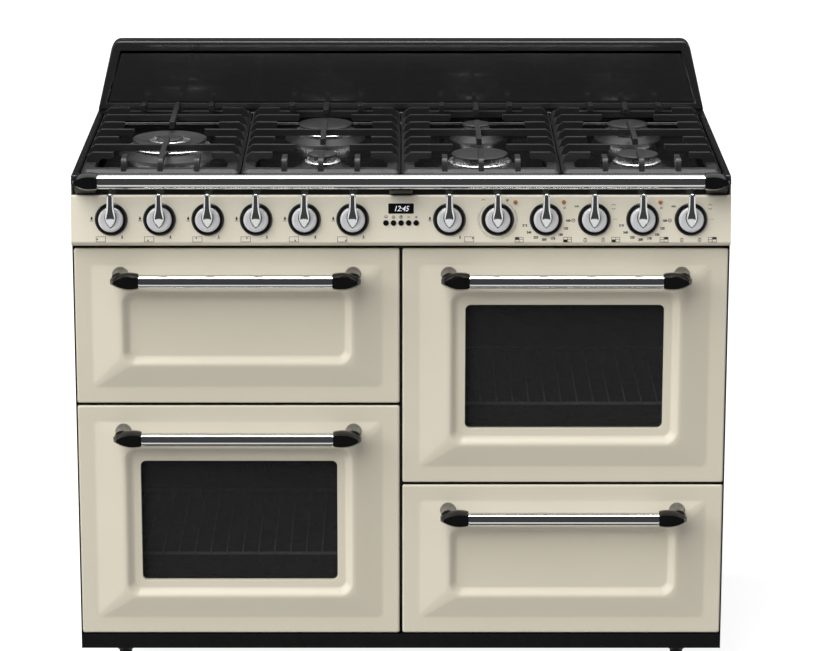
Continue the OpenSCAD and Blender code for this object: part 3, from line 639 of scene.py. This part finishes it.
def railHook(x, width, reach, tall):  # a bracket whose underside rises to the rail
    hook = outlined([(0, 0), (0, tall), (-reach, tall), (-reach, tall - 5 * mm), (8 * mm - reach, tall - 10 * mm)],
                    width, 1.2 * mm)
    stand = Matrix(((0, 0, 1, x - width / 2), (1, 0, 0, faceY), (0, 1, 0, bracketLow.z), (0, 0, 0, 1)))
    return placed(hook, stand)


def frontRail():
    here = Matrix.Translation(railMiddle)
    piece("front_rail_tube", [placed(barAlong(railLength, railRadius), here)], "chrome", "cooker_body",
          ["front_rail"], sharp=50)
    capLength = bracketHigh.x - railLength / 2
    outer = faceY - railMiddle.y
    hooks, parts = [railHook(0, rail["hook"], outer + 5 * mm, rail["hookHeight"])], []
    for side in (-1, 1):
        flip = Matrix.Diagonal((side, 1, 1, 1))
        stand = here @ flip @ Matrix.Translation((railLength / 2, 0, 0))
        parts.append(placed(leafCap(capLength, railRadius), stand @ upright(0, 0, 0)))
        middle = side * (trayEdge - rail["blockIn"])
        hooks.append(railHook(middle, rail["block"], outer - 9 * mm, rail["blockHeight"]))
    piece("front_rail_caps", parts, "plastic", "cooker_body", ["rail_brackets"], sharp=60)
    piece("front_rail_hooks", hooks, "sheet", "cooker_body", ["rail_brackets"], sharp=60)


frontRail()
print("front rail made")

# Control panel: a folded sheet with rounded bends

panel = {"lip": 7 * mm, "fold": 12 * mm, "bend": 2.2 * mm, "tilt": math.radians(7.8)}
panelLow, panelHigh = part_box("control_panel")


def controlPanel():
    height = panelHigh.z - panelLow.z
    out = faceY - panelLow.y + panel["lip"] * math.tan(panel["tilt"])
    slope = [-out + z * math.tan(panel["tilt"]) for z in (panel["lip"], height)]
    bm = bmesh.new()
    outline = [(panel["fold"], 0), (panel["lip"] - out, 0), (slope[0], panel["lip"]), (slope[1], height),
               (panel["fold"], height)]
    corners = [bm.verts.new((panelLow.x, faceY + y, panelLow.z + z)) for y, z in outline]
    bm.faces.new(corners)
    rounded(bm, corners[1:4], panel["bend"], 5, "VERTICES")
    thickened(bm, (panelHigh.x - panelLow.x, 0, 0), use_keep_orig=True)
    # the panel takes the lighter cream copy, which is painted light
    piece("control_panel_sheet", [bm], "panel", "cooker_body", ["control_panel"], sharp=50)


controlPanel()

# Knobs: satin disc with a raised leaf-shaped lever, in a black ring

knobShape = {
    "radius": 20.6 * mm,
    "low": 4 * mm,
    "top": 14 * mm,
    "ringRadius": 27.5 * mm,
    "ringHeight": 5 * mm,
    "ringGap": 0.8 * mm,
}

# Lever stations from its pointed foot to its round end: up the panel, half width, underside, top
leverStations = [(-12.5, 0.6, 12.6, 13.9), (-11, 2.4, 12.6, 14.9), (-8, 4.9, 12.6, 16.6), (-4, 7, 12.6, 18.7),
                 (0, 8.4, 12.6, 20.6), (4, 9, 12.6, 22.2), (8, 8.7, 12.6, 23.5), (12, 7.8, 12.8, 24.2),
                 (17, 6.7, 13.2, 24.5), (24, 6, 13.6, 24.7), (32, 5.8, 14.4, 24.9), (38, 5.7, 15, 25),
                 (41.2, 5, 15.8, 24.7), (43.2, 3.7, 16.8, 23.8), (44.3, 1.6, 18.4, 22.4)]


def lever():
    bm = bmesh.new()
    rings = []
    for up, half, low, top in leverStations:
        made = bmesh.ops.create_circle(bm, segments=20, radius=1)
        for vert in made["verts"]:
            side = math.copysign(abs(vert.co.x) ** 0.8, vert.co.x)
            tall = math.copysign(abs(vert.co.y) ** 0.7, vert.co.y)
            vert.co = Vector((side * half, up, (low + top) / 2 + tall * (top - low) / 2)) * mm
        rings.append(list({edge for vert in made["verts"] for edge in vert.link_edges}))
    bridged(bm, rings)
    for ring in (rings[0], rings[-1]):
        bmesh.ops.contextual_create(bm, geom=ring)
    bmesh.ops.recalc_face_normals(bm, faces=bm.faces)
    return bm


def knobDisc():
    r, low, top = knobShape["radius"], knobShape["low"], knobShape["top"]
    profile = [(0, low)] + near(r, low, (-0.8, 0), (0, 0.8))
    profile += near(r, top, (0, -3), (-0.5, -1.6), (-1.4, -0.9), (-2.2, -0.9), (-2.9, -0.2), (-3.6, 0), (-4.4, -0.2))
    return turned(profile + [(0, top - 0.2 * mm)], 64)


def knobRing():
    outer, tall = knobShape["ringRadius"], knobShape["ringHeight"]
    inner = knobShape["radius"] + knobShape["ringGap"]
    profile = [(0, 0.3 * mm), (inner, 0.3 * mm)] + near(inner, tall, (0, -0.8), (0.6, -0.1), (1.6, 0))
    profile += near(outer, tall, (-2.8, -0.2), (-1.2, -1.2), (-0.3, -2.8), (0, -4)) + [(outer, 0)]
    return turned(profile, 64)


knobJoints = {}
for joint in frame["joints"]:
    if joint["child"].startswith("knob_"):
        knobJoints[int(joint["child"].split("_")[1])] = joint
knobPlaces = {number: onAxis(joint["pos_m"], joint["axis"]) for number, joint in knobJoints.items()}


# Painted shadow: a thin black leaf under each lever stands in for the dark outline of shade around the lever's foot
def leverShadowPlate():
    half = [(5.2, -9.5), (9.2, -2), (10.2, 4), (9.4, 9), (7, 14)]
    outline = [(0, -14.2)] + half + [(-x, y) for x, y in reversed(half)]
    leaf = outlined([(x * mm, y * mm) for x, y in outline], 0.5 * mm, 0.12 * mm, 1)
    return placed(leaf, Matrix.Translation((0, 0, knobShape["top"] - 0.45 * mm)))


for number, place in knobPlaces.items():
    shank = turned([(0, -20 * mm), (2.9 * mm, -20 * mm), (3 * mm, 4.5 * mm), (0, 4.5 * mm)], 24)
    parts = [knobDisc()] + ([shank] if number > 7 else [])
    piece(f"knob_{number}_turned", [placed(part, place) for part in parts], "knob", f"knob_{number}",
          [f"knob_{number}"], sharp=35)
    piece(f"knob_{number}_lever", [placed(lever(), place)], "chrome", f"knob_{number}",
          [f"knob_{number}"], sharp=50)
    # the black plate under the lever is painted shadow
    piece(f"knob_{number}_painted_shadow", [placed(leverShadowPlate(), place)], "plastic", f"knob_{number}",
          [f"knob_{number}"])
piece("knob_rings_turned", [placed(knobRing(), place) for place in knobPlaces.values()], "plastic", "cooker_body",
      ["knob_rings"], sharp=60)
print("knobs made:", len(knobPlaces))

# Timer with its window, digits, buttons and the three lamps

timer = {"window": (42.6 * mm, 17.3 * mm), "up": 18 * mm, "buttonUp": -6 * mm, "pitch": 12.6 * mm,
         "button": 4.75 * mm, "lamp": 3.6 * mm, "lampAt": (29.5 * mm, 28.5 * mm), "lampKnobs": (8, 9, 11)}
panelMiddle = knobPlaces[6] @ Matrix.Translation((-knobPlaces[6].translation.x, 0, 0))


def flat(text, size, shear=0.0, weight=0.0):  # text laid flat as a thin solid
    curve = bpy.data.curves.new("scratchText", "FONT")
    curve.body = text
    curve.size = size
    curve.shear = shear
    curve.align_x = "CENTER"
    curve.align_y = "CENTER"
    curve.extrude = 0.05 * mm
    curve.offset = weight
    holder = linked("scratchText", curve)
    bpy.context.view_layer.update()
    mesh = bpy.data.meshes.new_from_object(holder.evaluated_get(bpy.context.evaluated_depsgraph_get()))
    bm = bmesh.new()
    bm.from_mesh(mesh)
    bmesh.ops.remove_doubles(bm, verts=bm.verts, dist=0.001 * mm)
    bpy.data.objects.remove(holder)
    bpy.data.meshes.remove(mesh)
    return bm


def timerFront():
    width, height = timer["window"]
    bm = bmesh.new()
    rings = [roundedRing(bm, width - 2 * inset, height - 2 * inset, 1.6 * mm - inset, z, 4)
             for inset, z in ((0, -1 * mm), (0, 0.1 * mm), (0.15 * mm, 0.3 * mm), (0.5 * mm, 0.4 * mm))]
    bridged(bm, rings)
    bmesh.ops.contextual_create(bm, geom=rings[-1])
    bmesh.ops.contextual_create(bm, geom=rings[0])
    bmesh.ops.recalc_face_normals(bm, faces=bm.faces)
    window = panelMiddle @ Matrix.Translation((0, timer["up"], 0))
    piece("timer_window", [placed(bm, window)], "plastic", "cooker_body", ["timer_and_lamps"])
    digits = flat("12:45", 12.5 * mm, 0.3)
    bmesh.ops.scale(digits, vec=(0.9, 1, 1), verts=digits.verts)
    piece("timer_digits", [placed(digits, window @ Matrix.Translation((0, -0.5 * mm, 0.45 * mm)))], "digits",
          "cooker_body", weighted=False)
    lamps = []
    for number in timer["lampKnobs"]:
        r = timer["lamp"]
        dome = turned([(0, -1 * mm)] + near(r, 0, (0, -1), (0, 0.5), (-0.5, 1.1), (-1.6, 1.7)) + [(0, 2 * mm)], 32)
        lamps.append(placed(dome, knobPlaces[number] @ Matrix.Translation((*timer["lampAt"], 0))))
    piece("indicator_lamps", lamps, "lens", "cooker_body")


timerFront()
for number in range(1, 6):
    r = timer["button"]
    cap = turned([(0, -4 * mm)] + near(r, 0, (0, -4), (0, 1), (-0.4, 1.7), (-1.4, 2.1)) + [(0, 2.2 * mm)], 32)
    middle = panelMiddle @ Matrix.Translation(((number - 3) * timer["pitch"], timer["buttonUp"], 0))
    piece(f"timer_button_{number}_cap", [placed(cap, middle)], "plastic", f"timer_button_{number}",
          [f"timer_button_{number}"], sharp=60)
print("timer made")

# Printed marks of the panel: plain generic signs and numbers

printing = {"up": 0.06 * mm, "thick": 0.1 * mm, "number": 5.2 * mm, "numberAt": 37 * mm,
            "weight": 0.28 * mm}


def stroke(x, y, width, height, turn=0.0):
    bm = bmesh.new()
    bmesh.ops.create_cube(bm, size=1, matrix=Matrix.Diagonal((width, height, printing["thick"], 1)))
    return placed(bm, Matrix.Translation((x, y, printing["up"])) @ Matrix.Rotation(turn, 4, "Z"))


def disc(x, y, radius, hole=0.0, start=0.0, end=2 * math.pi):  # a disc, ring or arc
    bm = bmesh.new()
    tall, whole = printing["thick"] / 2, end - start > 6.28
    corners = [(radius, -tall), (radius, tall), (hole, tall), (hole, -tall)]
    verts = [bm.verts.new((r, 0, z)) for r, z in corners]
    edges = [bm.edges.new((verts[i], verts[(i + 1) % 4])) for i in range(4)]
    steps = max(6, int(32 * (end - start) / (2 * math.pi)))
    bmesh.ops.spin(bm, geom=verts + edges, cent=(0, 0, 0), axis=(0, 0, 1), angle=end - start, steps=steps,
                   use_merge=whole)
    bmesh.ops.remove_doubles(bm, verts=bm.verts, dist=0.001 * mm)
    if not whole:
        bmesh.ops.holes_fill(bm, edges=[e for e in bm.edges if e.is_boundary])
    bmesh.ops.recalc_face_normals(bm, faces=bm.faces)
    return placed(bm, Matrix.Translation((x, y, printing["up"])) @ Matrix.Rotation(start, 4, "Z"))


def flame(x, y, size):  # a flame sign: a pointed drop over a short bar
    drop = outlined([(size * across, size * up) for across, up in
                     ((0, 1), (0.28, 0.45), (0.3, 0.15), (0, 0), (-0.3, 0.15), (-0.28, 0.45))], printing["thick"])
    return [placed(drop, Matrix.Translation((x, y, 0))), stroke(x, y - size * 0.25, size * 0.9, size * 0.16)]


def plan(x, y, width, height, marks, split=False):  # a small plan of the hob or of the compartments
    line = 0.7 * mm
    parts = [stroke(x, y + side * height / 2, width + line, line) for side in (-1, 1)]
    parts += [stroke(x + side * width / 2, y, line, height) for side in (-1, 1)]
    if split:
        parts += [stroke(x, y, line, height), stroke(x - width / 4, y, width / 2, line),
                  stroke(x + width / 4, y + height * 0.08, width / 2, line)]
    for across, up, w, h in marks:
        parts.append(stroke(x + across * width / 2, y + up * height / 2, w * width, h * height))
    return parts


hobPlaces = {1: (-0.75, 0), 2: (-0.25, -0.45), 3: (-0.25, 0.45), 4: (0.25, 0.45), 5: (0.25, -0.45),
             6: (0.75, -0.45), 7: (0.75, 0.45)}
ovenPlaces = {8: (-0.5, 0.5), 9: (-0.5, -0.5), 10: (-0.5, -0.5), 11: (0.5, 0.5), 12: (0.5, 0.5)}
heats = ["100", "125", "150", "175", "200", "225", "240", "260"]


def gasMarks(number):
    side = 1 if number == 7 else -1
    parts = flame(-32.5 * mm, -1 * mm, 6.2 * mm) + flame(18 * mm, -31 * mm, 4.4 * mm)
    parts += plan(side * (17.5 if number < 7 else 33) * mm, -33.5 * mm, 15.6 * mm, 8.6 * mm,
                  [(*hobPlaces[number], 0.14, 0.28)])
    return parts


def heatMarks():
    parts = []
    for step, value in enumerate(heats):
        turn = math.radians(-4 - step * 22.6)
        across, up = printing["numberAt"] * math.cos(turn), printing["numberAt"] * 0.92 * math.sin(turn)
        at = Matrix.Translation((across, up, printing["up"]))
        parts.append(placed(flat(value, printing["number"], weight=printing["weight"]), at))
    cross = Matrix.Translation((31 * mm, 19 * mm, 0))
    for turn in (0.6, 2.5):
        parts.append(placed(stroke(0, 0, 5 * mm, 0.8 * mm, turn), cross))
    return parts


def modeMarks():
    parts = [stroke((step * 1.4 - 32) * mm, 22 * mm, 0.8 * mm, 2.6 * mm) for step in range(5)]
    parts.append(stroke(-29.2 * mm, 20.8 * mm, 7 * mm, 0.8 * mm))
    for up, start in ((22 * mm, 0.3), (20 * mm, 3.44)):
        parts.append(disc(32 * mm, up, 3.4 * mm, 2.6 * mm, start, start + 2.5))
    parts += [disc(-35 * mm, -2 * mm, 3.1 * mm, 2.3 * mm), disc(-35 * mm, -2 * mm, 0.9 * mm),
              disc(35 * mm, -2 * mm, 3 * mm, 2.5 * mm, 0.3, 2.8)]
    for x in (-15 * mm, 15 * mm):
        parts += [disc(x, -35 * mm, 2.9 * mm, 2.1 * mm), stroke(x, -31.5 * mm, 5 * mm, 0.8 * mm),
                  disc(x, -35 * mm, 0.7 * mm)]
    return parts


def grillMarks():
    parts = [disc(0, 0, 31.4 * mm, 31 * mm, -3.9, 0.9), disc(0, 0, 33.4 * mm, 33.1 * mm, -3.5, 0.5),
             disc(-24 * mm, 30 * mm, 3.6 * mm, 2.8 * mm, 0.5, 2.7)]
    cross = Matrix.Translation((16 * mm, 32 * mm, 0))
    for turn in (0.785, 2.356):
        parts.append(placed(stroke(0, 0, 4.2 * mm, 0.8 * mm), cross @ Matrix.Rotation(turn, 4, "Z")))
    return parts + [disc(16 * mm, 32 * mm, 2.1 * mm, 1.6 * mm)]


def iconMarks():  # signs over the timer's buttons
    up, pitch, line = 3.8 * mm, timer["pitch"], 1 * mm
    parts = [disc(-2 * pitch, up, 2.8 * mm, 2 * mm, 0, math.pi), stroke(-2 * pitch, up - 0.3 * mm, 6.4 * mm, line),
             stroke(-2 * pitch, up - 1.6 * mm, 1.4 * mm, 1.2 * mm)]
    for x in (-pitch, 0):
        parts += [disc(x, up - 0.4 * mm, 2.6 * mm, 1.8 * mm, math.pi, 2 * math.pi), stroke(x, up, 6 * mm, line)]
    parts += [stroke(-pitch, up + 1.8 * mm, 3.4 * mm, line), stroke(0, up + 1.8 * mm, 3.8 * mm, line, 0.5),
              stroke(0, up + 1.8 * mm, 3.8 * mm, line, -0.5), stroke(pitch, up, 4.4 * mm, line),
              stroke(2 * pitch, up, 4.4 * mm, line), stroke(2 * pitch, up, line, 4.2 * mm)]
    return parts


marks = [placed(part, panelMiddle) for part in iconMarks()]
for number, place in knobPlaces.items():
    if number <= 7:
        local = gasMarks(number)
    elif number == 8:
        local = grillMarks()
    elif number in (9, 11):
        local = heatMarks()
    else:
        local = modeMarks()
    if number > 7:
        local += plan(36 * mm, -34 * mm, 13.6 * mm, 8 * mm, [(*ovenPlaces[number], 0.42, 0.42)], True)
    marks += [placed(part, place) for part in local]
piece("panel_print", marks, "ink", "cooker_body", weighted=False)
print("panel print made:", len(marks), "marks")

# Hob: glossy enamelled tray with one well

hob = {"rim": 12 * mm, "rearRim": 24 * mm, "well": 20 * mm, "edge": 3 * mm, "corner": 16 * mm,
       "outerCorner": 4 * mm, "sweep": 6 * mm, "wall": 1.2 * mm}
trayLow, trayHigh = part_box("hob_tray")
guardLow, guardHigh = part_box("backguard")


def arcSections(inset, radius, z, turnFrom, turnTo, steps):  # quarter turns of an edge as (inset, height)
    made = []
    for step in range(steps + 1):
        turn = turnFrom + (turnTo - turnFrom) * step / steps
        made.append((inset + radius * math.cos(turn), z + radius * math.sin(turn)))
    return made


def hobTray():
    width, depth = trayHigh.x - trayLow.x, trayHigh.y - trayLow.y
    middle = ((trayLow.x + trayHigh.x) / 2, (trayLow.y + trayHigh.y) / 2)
    edge, outer, sweep = hob["edge"], hob["outerCorner"], hob["sweep"]
    bm = bmesh.new()
    rings = [roundedRing(bm, width, depth, outer, trayLow.z, 7, middle)]
    for inset, z in arcSections(edge, edge, trayHigh.z - edge, math.pi, math.pi / 2, 5):
        rings.append(roundedRing(bm, width - 2 * inset, depth - 2 * inset, outer + inset, z, 7, middle))
    guardFront = trayHigh.y - guardLow.y
    wellWidth = width - 2 * hob["rim"]
    wellDepth = depth - hob["rim"] - hob["rearRim"] - guardFront
    wellMiddle = (middle[0], trayLow.y + hob["rim"] + wellDepth / 2)
    sections = [(inset - edge, z - 0.02 * mm) for inset, z in
                arcSections(0, edge, trayHigh.z - edge, math.pi / 2, 0, 5)]
    floor = trayHigh.z - hob["well"]
    sections += [(-x, floor + sweep - z) for x, z in arcSections(-sweep, sweep, 0, 0, math.pi / 2, 6)]
    for inset, z in sections:
        radius = hob["corner"] - inset
        rings.append(roundedRing(bm, wellWidth - 2 * inset, wellDepth - 2 * inset, radius, z, 7, wellMiddle))
    bridged(bm, rings)
    floorFace = bmesh.ops.contextual_create(bm, geom=rings[-1])["faces"][0]
    bmesh.ops.recalc_face_normals(bm, faces=bm.faces)
    if floorFace.normal.z < 0:
        bmesh.ops.reverse_faces(bm, faces=bm.faces)
    piece("hob_tray_enamelled", [bm], "black", "cooker_body", ["hob_tray"], wall=hob["wall"],
          sharp=60)


hobTray()

# Burners: set out on a grid within the pan supports' bounds, at the height of the caps in the frame

burner = {"cap": 5 * mm, "ring": 5.5 * mm, "skirt": 16 * mm, "ports": 36, "supportWidth": 266 * mm, "reach": 128 * mm,
          "wok": 65 * mm, "wokHole": 36 * mm, "wokInner": 33 * mm, "wokMiddle": 24 * mm, "rapid": 48.5 * mm,
          "halfRapid": 36 * mm, "auxiliary": 25.5 * mm}


def burnerPlaces():
    low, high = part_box("pan_supports")
    pitch = (high.x - low.x - burner["supportWidth"]) / 3
    middle, reach = (low.y + high.y) / 2, burner["reach"]
    return [(across * pitch, middle + along * reach, burner[size]) for across, along, size in
            ((-1.5, 0, "wok"), (-0.5, 1, "rapid"), (-0.5, -1, "auxiliary"), (0.5, 1, "auxiliary"), (0.5, -1, "rapid"),
             (1.5, 1, "halfRapid"), (1.5, -1, "halfRapid"))]


def burnerSkirt(r):
    ring = r + burner["ring"]
    skirt = ring + burner["skirt"]
    return turned(near(skirt, 0, (1.5, 0.1), (0, 1.2), (-1.5, 2))
                  + near(ring, 0, (5, 7.5), (2, 9.5), (-1, 10), (-4, 9.6)), 72)


def burnerRing(r):
    ring = r + burner["ring"]
    return turned(near(ring, 0, (-3, 9.2), (-0.6, 9.4), (0, 10), (0, 13.6), (-0.8, 14.6))
                  + near(r, 0, (-1, 16.8), (-2.6, 17), (-3, 16)), 72)


def burnerCrown(r, high, low):
    crown = r - 3 * mm
    bm = turned(near(crown, low, (-4, 0), (0, 0), (0, 1.6)) + near(crown, high, (0, -0.8), (-0.8, 0)) + [(0, high)],
                2 * burner["ports"])
    side = [face for face in bm.faces if abs(face.normal.z) < 0.1 and face.calc_center_median().z > low + 1.7 * mm]
    side.sort(key=lambda face: math.atan2(face.calc_center_median().y, face.calc_center_median().x))
    bmesh.ops.inset_individual(bm, faces=side[::2], thickness=0.25 * mm, depth=-1.6 * mm)
    return bm


def capRim(r, z):  # the rounded outer edge that every cap has
    return (near(r, z, (-2, 0), (-0.6, 0.4), (0, 1.4))
            + near(r, z + burner["cap"], (-0.1, -2.4), (-0.8, -1.4), (-2.4, -0.7)))


def burnerCap(r, z):
    top = z + burner["cap"]
    return turned([(0, z)] + capRim(r, z) + [(r * 0.6, top - 0.2 * mm), (0, top)], 72)


def wokCap(r, z):
    top, hole = z + burner["cap"], burner["wokHole"]
    profile = near(hole, z, (0, 0.6)) + capRim(r, z) + near(r, top, (-10, -1.4))
    return turned(profile + near(hole, top, (4, -3), (0.8, -3.4)) + near(hole, z, (0, 1.2)), 72, True)


def makeBurners():
    floor = trayHigh.z - hob["well"]
    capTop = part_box("burner_caps")[1].z - floor
    skirts, bright, caps = [], [], []
    under = capTop - burner["cap"]
    for x, y, r in burnerPlaces():
        here = Matrix.Translation((x, y, floor))
        skirts.append(placed(burnerSkirt(r), here))
        bright.append(placed(burnerRing(r), here))
        if r == burner["wok"]:
            bright.append(placed(burnerCrown(r, under + 0.4 * mm, 12 * mm), here))
            bright.append(placed(burnerCrown(burner["wokInner"], under + 1.4 * mm, 12 * mm), here))
            caps.append(placed(wokCap(r, under), here))
            caps.append(placed(burnerCap(burner["wokMiddle"], under + 0.2 * mm), here))
        else:
            bright.append(placed(burnerCrown(r, under + 0.4 * mm, 14 * mm), here))
            caps.append(placed(burnerCap(r, under), here))
    piece("burner_skirts", skirts, "skirt", "cooker_body", ["burner_bodies"], sharp=60)
    piece("burner_rings", bright, "alloy", "cooker_body", ["burner_bodies"], sharp=35)
    piece("burner_caps_enamelled", caps, "cap", "cooker_body", ["burner_caps"], sharp=60)


makeBurners()
refined("pan_supports_cast", "pan_supports", "iron", 1.4 * mm, 3)
print("hob made")

# Backguard: folded enamelled sheet with a sunk panel

guard = {"taper": 29 * mm, "corner": 13 * mm, "edge": 3 * mm, "frame": 16 * mm, "wall": 1.2 * mm,
         "groove": ((0.7, -0.4), (1.6, -3.6), (1.6, -0.4), (1.6, 1.6), (0.8, 0.4))}


def backGuard():
    depth, height = guardHigh.y - guardLow.y, guardHigh.z - guardLow.z
    half = guardHigh.x
    bm = bmesh.new()
    corners = [bm.verts.new((x, y, 0)) for x, y in
               ((-half, 0), (half, 0), (half - guard["taper"], height), (guard["taper"] - half, height))]
    bm.faces.new(corners)
    rounded(bm, corners[2:], guard["corner"], 7, "VERTICES")
    thickened(bm, (0, 0, depth))
    front = max(bm.faces, key=lambda face: face.calc_center_median().z)
    if front.normal.z < 0:
        bmesh.ops.reverse_faces(bm, faces=bm.faces)
    rounded(bm, list(front.edges), guard["edge"], 4)
    front = max(bm.faces, key=lambda face: face.calc_area() * (face.normal.z > 0.9))
    bmesh.ops.inset_region(bm, faces=[front], thickness=guard["frame"] - guard["edge"], depth=0)
    for width, rise in guard["groove"]:
        bmesh.ops.inset_region(bm, faces=[front], thickness=width * mm, depth=rise * mm)
    rear = min(bm.faces, key=lambda face: face.calc_center_median().z - face.calc_area())
    bmesh.ops.delete(bm, geom=[rear], context="FACES")
    placed(bm, upright(0, guardHigh.y, guardLow.z))
    # the backguard takes the lighter black copy, which is painted reflection
    piece("backguard_enamelled", [bm], "guard", "cooker_body", ["backguard"], wall=guard["wall"],
          sharp=70)


backGuard()
print("backguard made")

# Feet: threaded stems on round pads

foot = {"pad": 22 * mm, "stem": 11 * mm, "root": 10.2 * mm, "thread": 2 * mm, "collar": 14 * mm}


def feet():
    low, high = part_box("feet")
    tall, pad, stem, thread = high.z, foot["pad"], foot["stem"], foot["thread"]
    profile = [(0, 0)] + near(pad, 0, (-1.5, 0), (0, 1.5), (0, 7.4), (-0.8, 8.4), (-4, 12))
    profile += near(stem, 0, (2.5, 13.6), (0, 14.4))
    z = 16 * mm
    while z < tall - 27 * mm:  # ribs of the screw thread
        profile += [(stem, z), (foot["root"], z + thread / 2), (stem, z + thread)]
        z += thread
    profile += [(stem, tall - 26 * mm), (foot["collar"], tall - 24 * mm), (foot["collar"], tall), (0, tall)]
    parts = []
    for x in (low.x + pad, high.x - pad):
        for y in (low.y + pad, high.y - pad):
            parts.append(placed(turned(profile, 36), Matrix.Translation((x, y, 0))))
    piece("levelling_feet", parts, "foot", "cooker_body", ["feet"], sharp=35)


feet()

# CAD parts that keep their shape and get their finish

dressed = {
    "sheet": ["outer_panels", "base_pan", "left_oven_inner", "right_oven_inner", "grill_inner"],
    "zinc": ["front_frame", "control_valves", "drawer_runners", "drawer_box"]
            + [f"tap_spindle_{number}" for number in range(1, 8)],
    "oven": ["oven_liners"],
    "rack": ["oven_racks"],
    "glass": ["left_oven_glass", "right_oven_glass"],
}
for finish, names in dressed.items():
    for name in names:
        shape = cadNodes[name]
        for spot in shape.material_slots:
            spot.material = finishes[finish]
        if not shape.material_slots:
            shape.data.materials.append(finishes[finish])
print("CAD parts dressed")

# Floor, light and camera

studio = {
    "sunWay": (0.54, 0.4, -0.74),
    "sun": 4.75,
    "sunSpread": 70,
    "fill": 0.1,
    "front": 0.5,
    "dark": 0.05,
    "bright": 1.0,
    "ceiling": (0.9, 0.96),
    "lean": 0.55,  # the ceiling light reaches further down behind the cooker
    "sides": (0.62, 0.78),
    "strip": 9.0,
    "stripFrom": 0.965,
    "stripTo": 0.995,
    "stripBack": 0.3,
    "low": 0.72,
    "lowFrom": -0.64,
    "lowTo": -0.92,
    "lowBack": 0.2,
    "floorColour": 0.32,
    "floorGlow": 0.9,
    "floorSize": 14,
}
camera = {"location": (-0.0024, -6.0, 2.1523), "pitch": 14.771, "lens": 155.6, "shift": 0.0097}


def floorFinish():
    tone = (studio["floorColour"],) * 3 + (1,)
    made = Finish("paleFloor", tone, 0.9, Specular_IOR_Level=0.0, Emission_Strength=1.0)
    seen = made.node("ShaderNodeLightPath", output="Is Camera Ray")
    glow = (studio["floorGlow"],) * 3 + (1,)
    made.set("Emission Color", made.blend(seen, (0, 0, 0, 1), glow))
    return made.material


def makeFloor():
    bm = bmesh.new()
    bmesh.ops.create_grid(bm, x_segments=1, y_segments=1, size=studio["floorSize"])
    mesh = bpy.data.meshes.new("floor")
    bm.to_mesh(mesh)
    bm.free()
    mesh.materials.append(floorFinish())
    made = linked("floor", mesh)
    made.visible_glossy = False  # gloss shows the soft light boxes under the horizon instead


class Sky(Finish):  # the world's nodes, written like a finish's
    def __init__(self, world):
        world.use_nodes = True
        self.tree = world.node_tree
        self.shader = self.tree.nodes["Background"]


def makeWorld():
    world = bpy.data.worlds.new("studio")
    bpy.context.scene.world = world
    sky = Sky(world)
    where = sky.node("ShaderNodeTexCoord", output="Generated")
    across, back, high = [sky.node("ShaderNodeSeparateXYZ", None, {"Vector": where}, axis) for axis in "XYZ"]
    tilt = high + back.larger(0.0) * studio["lean"]
    over = tilt.ramp(*studio["ceiling"], studio["dark"], studio["bright"])
    beside = across.larger(0 - across).ramp(*studio["sides"], 0.0, studio["bright"])
    strip = (tilt > studio["stripFrom"]) * (high < studio["stripTo"]) * (back < studio["stripBack"])
    under = (high < studio["lowFrom"]) * (high > studio["lowTo"]) * (back < studio["lowBack"])
    ahead = (0 - back).larger(0.0)
    fill = studio["fill"] + ahead * ahead * studio["front"]
    glossy = sky.node("ShaderNodeLightPath", output="Is Glossy Ray")
    seen = sky.node("ShaderNodeLightPath", output="Is Camera Ray")
    lit = sky.blend(glossy, fill, over.larger(beside) + strip * studio["strip"] + under * studio["low"])
    sky.set("Color", sky.blend(seen, lit, (1, 1, 1, 1)))


def makeSun():
    lamp = bpy.data.lights.new("key", "SUN")
    lamp.energy = studio["sun"]
    lamp.angle = math.radians(studio["sunSpread"])
    made = linked("key", lamp)
    made.rotation_euler = Vector(studio["sunWay"]).to_track_quat("-Z", "Y").to_euler()
    made.visible_glossy = False  # gloss comes from the world alone


def makeCamera():
    lens = bpy.data.cameras.new("camera")
    lens.lens = camera["lens"]
    lens.sensor_width = 36
    lens.shift_x = camera["shift"]
    lens.clip_end = 200
    made = linked("camera", lens)
    made.location = camera["location"]
    made.rotation_euler = (math.radians(90 - camera["pitch"]), 0, 0)
    bpy.context.scene.camera = made


makeFloor()
makeWorld()
makeSun()
makeCamera()
bpy.context.scene.view_settings.view_transform = "Standard"
print("studio made")
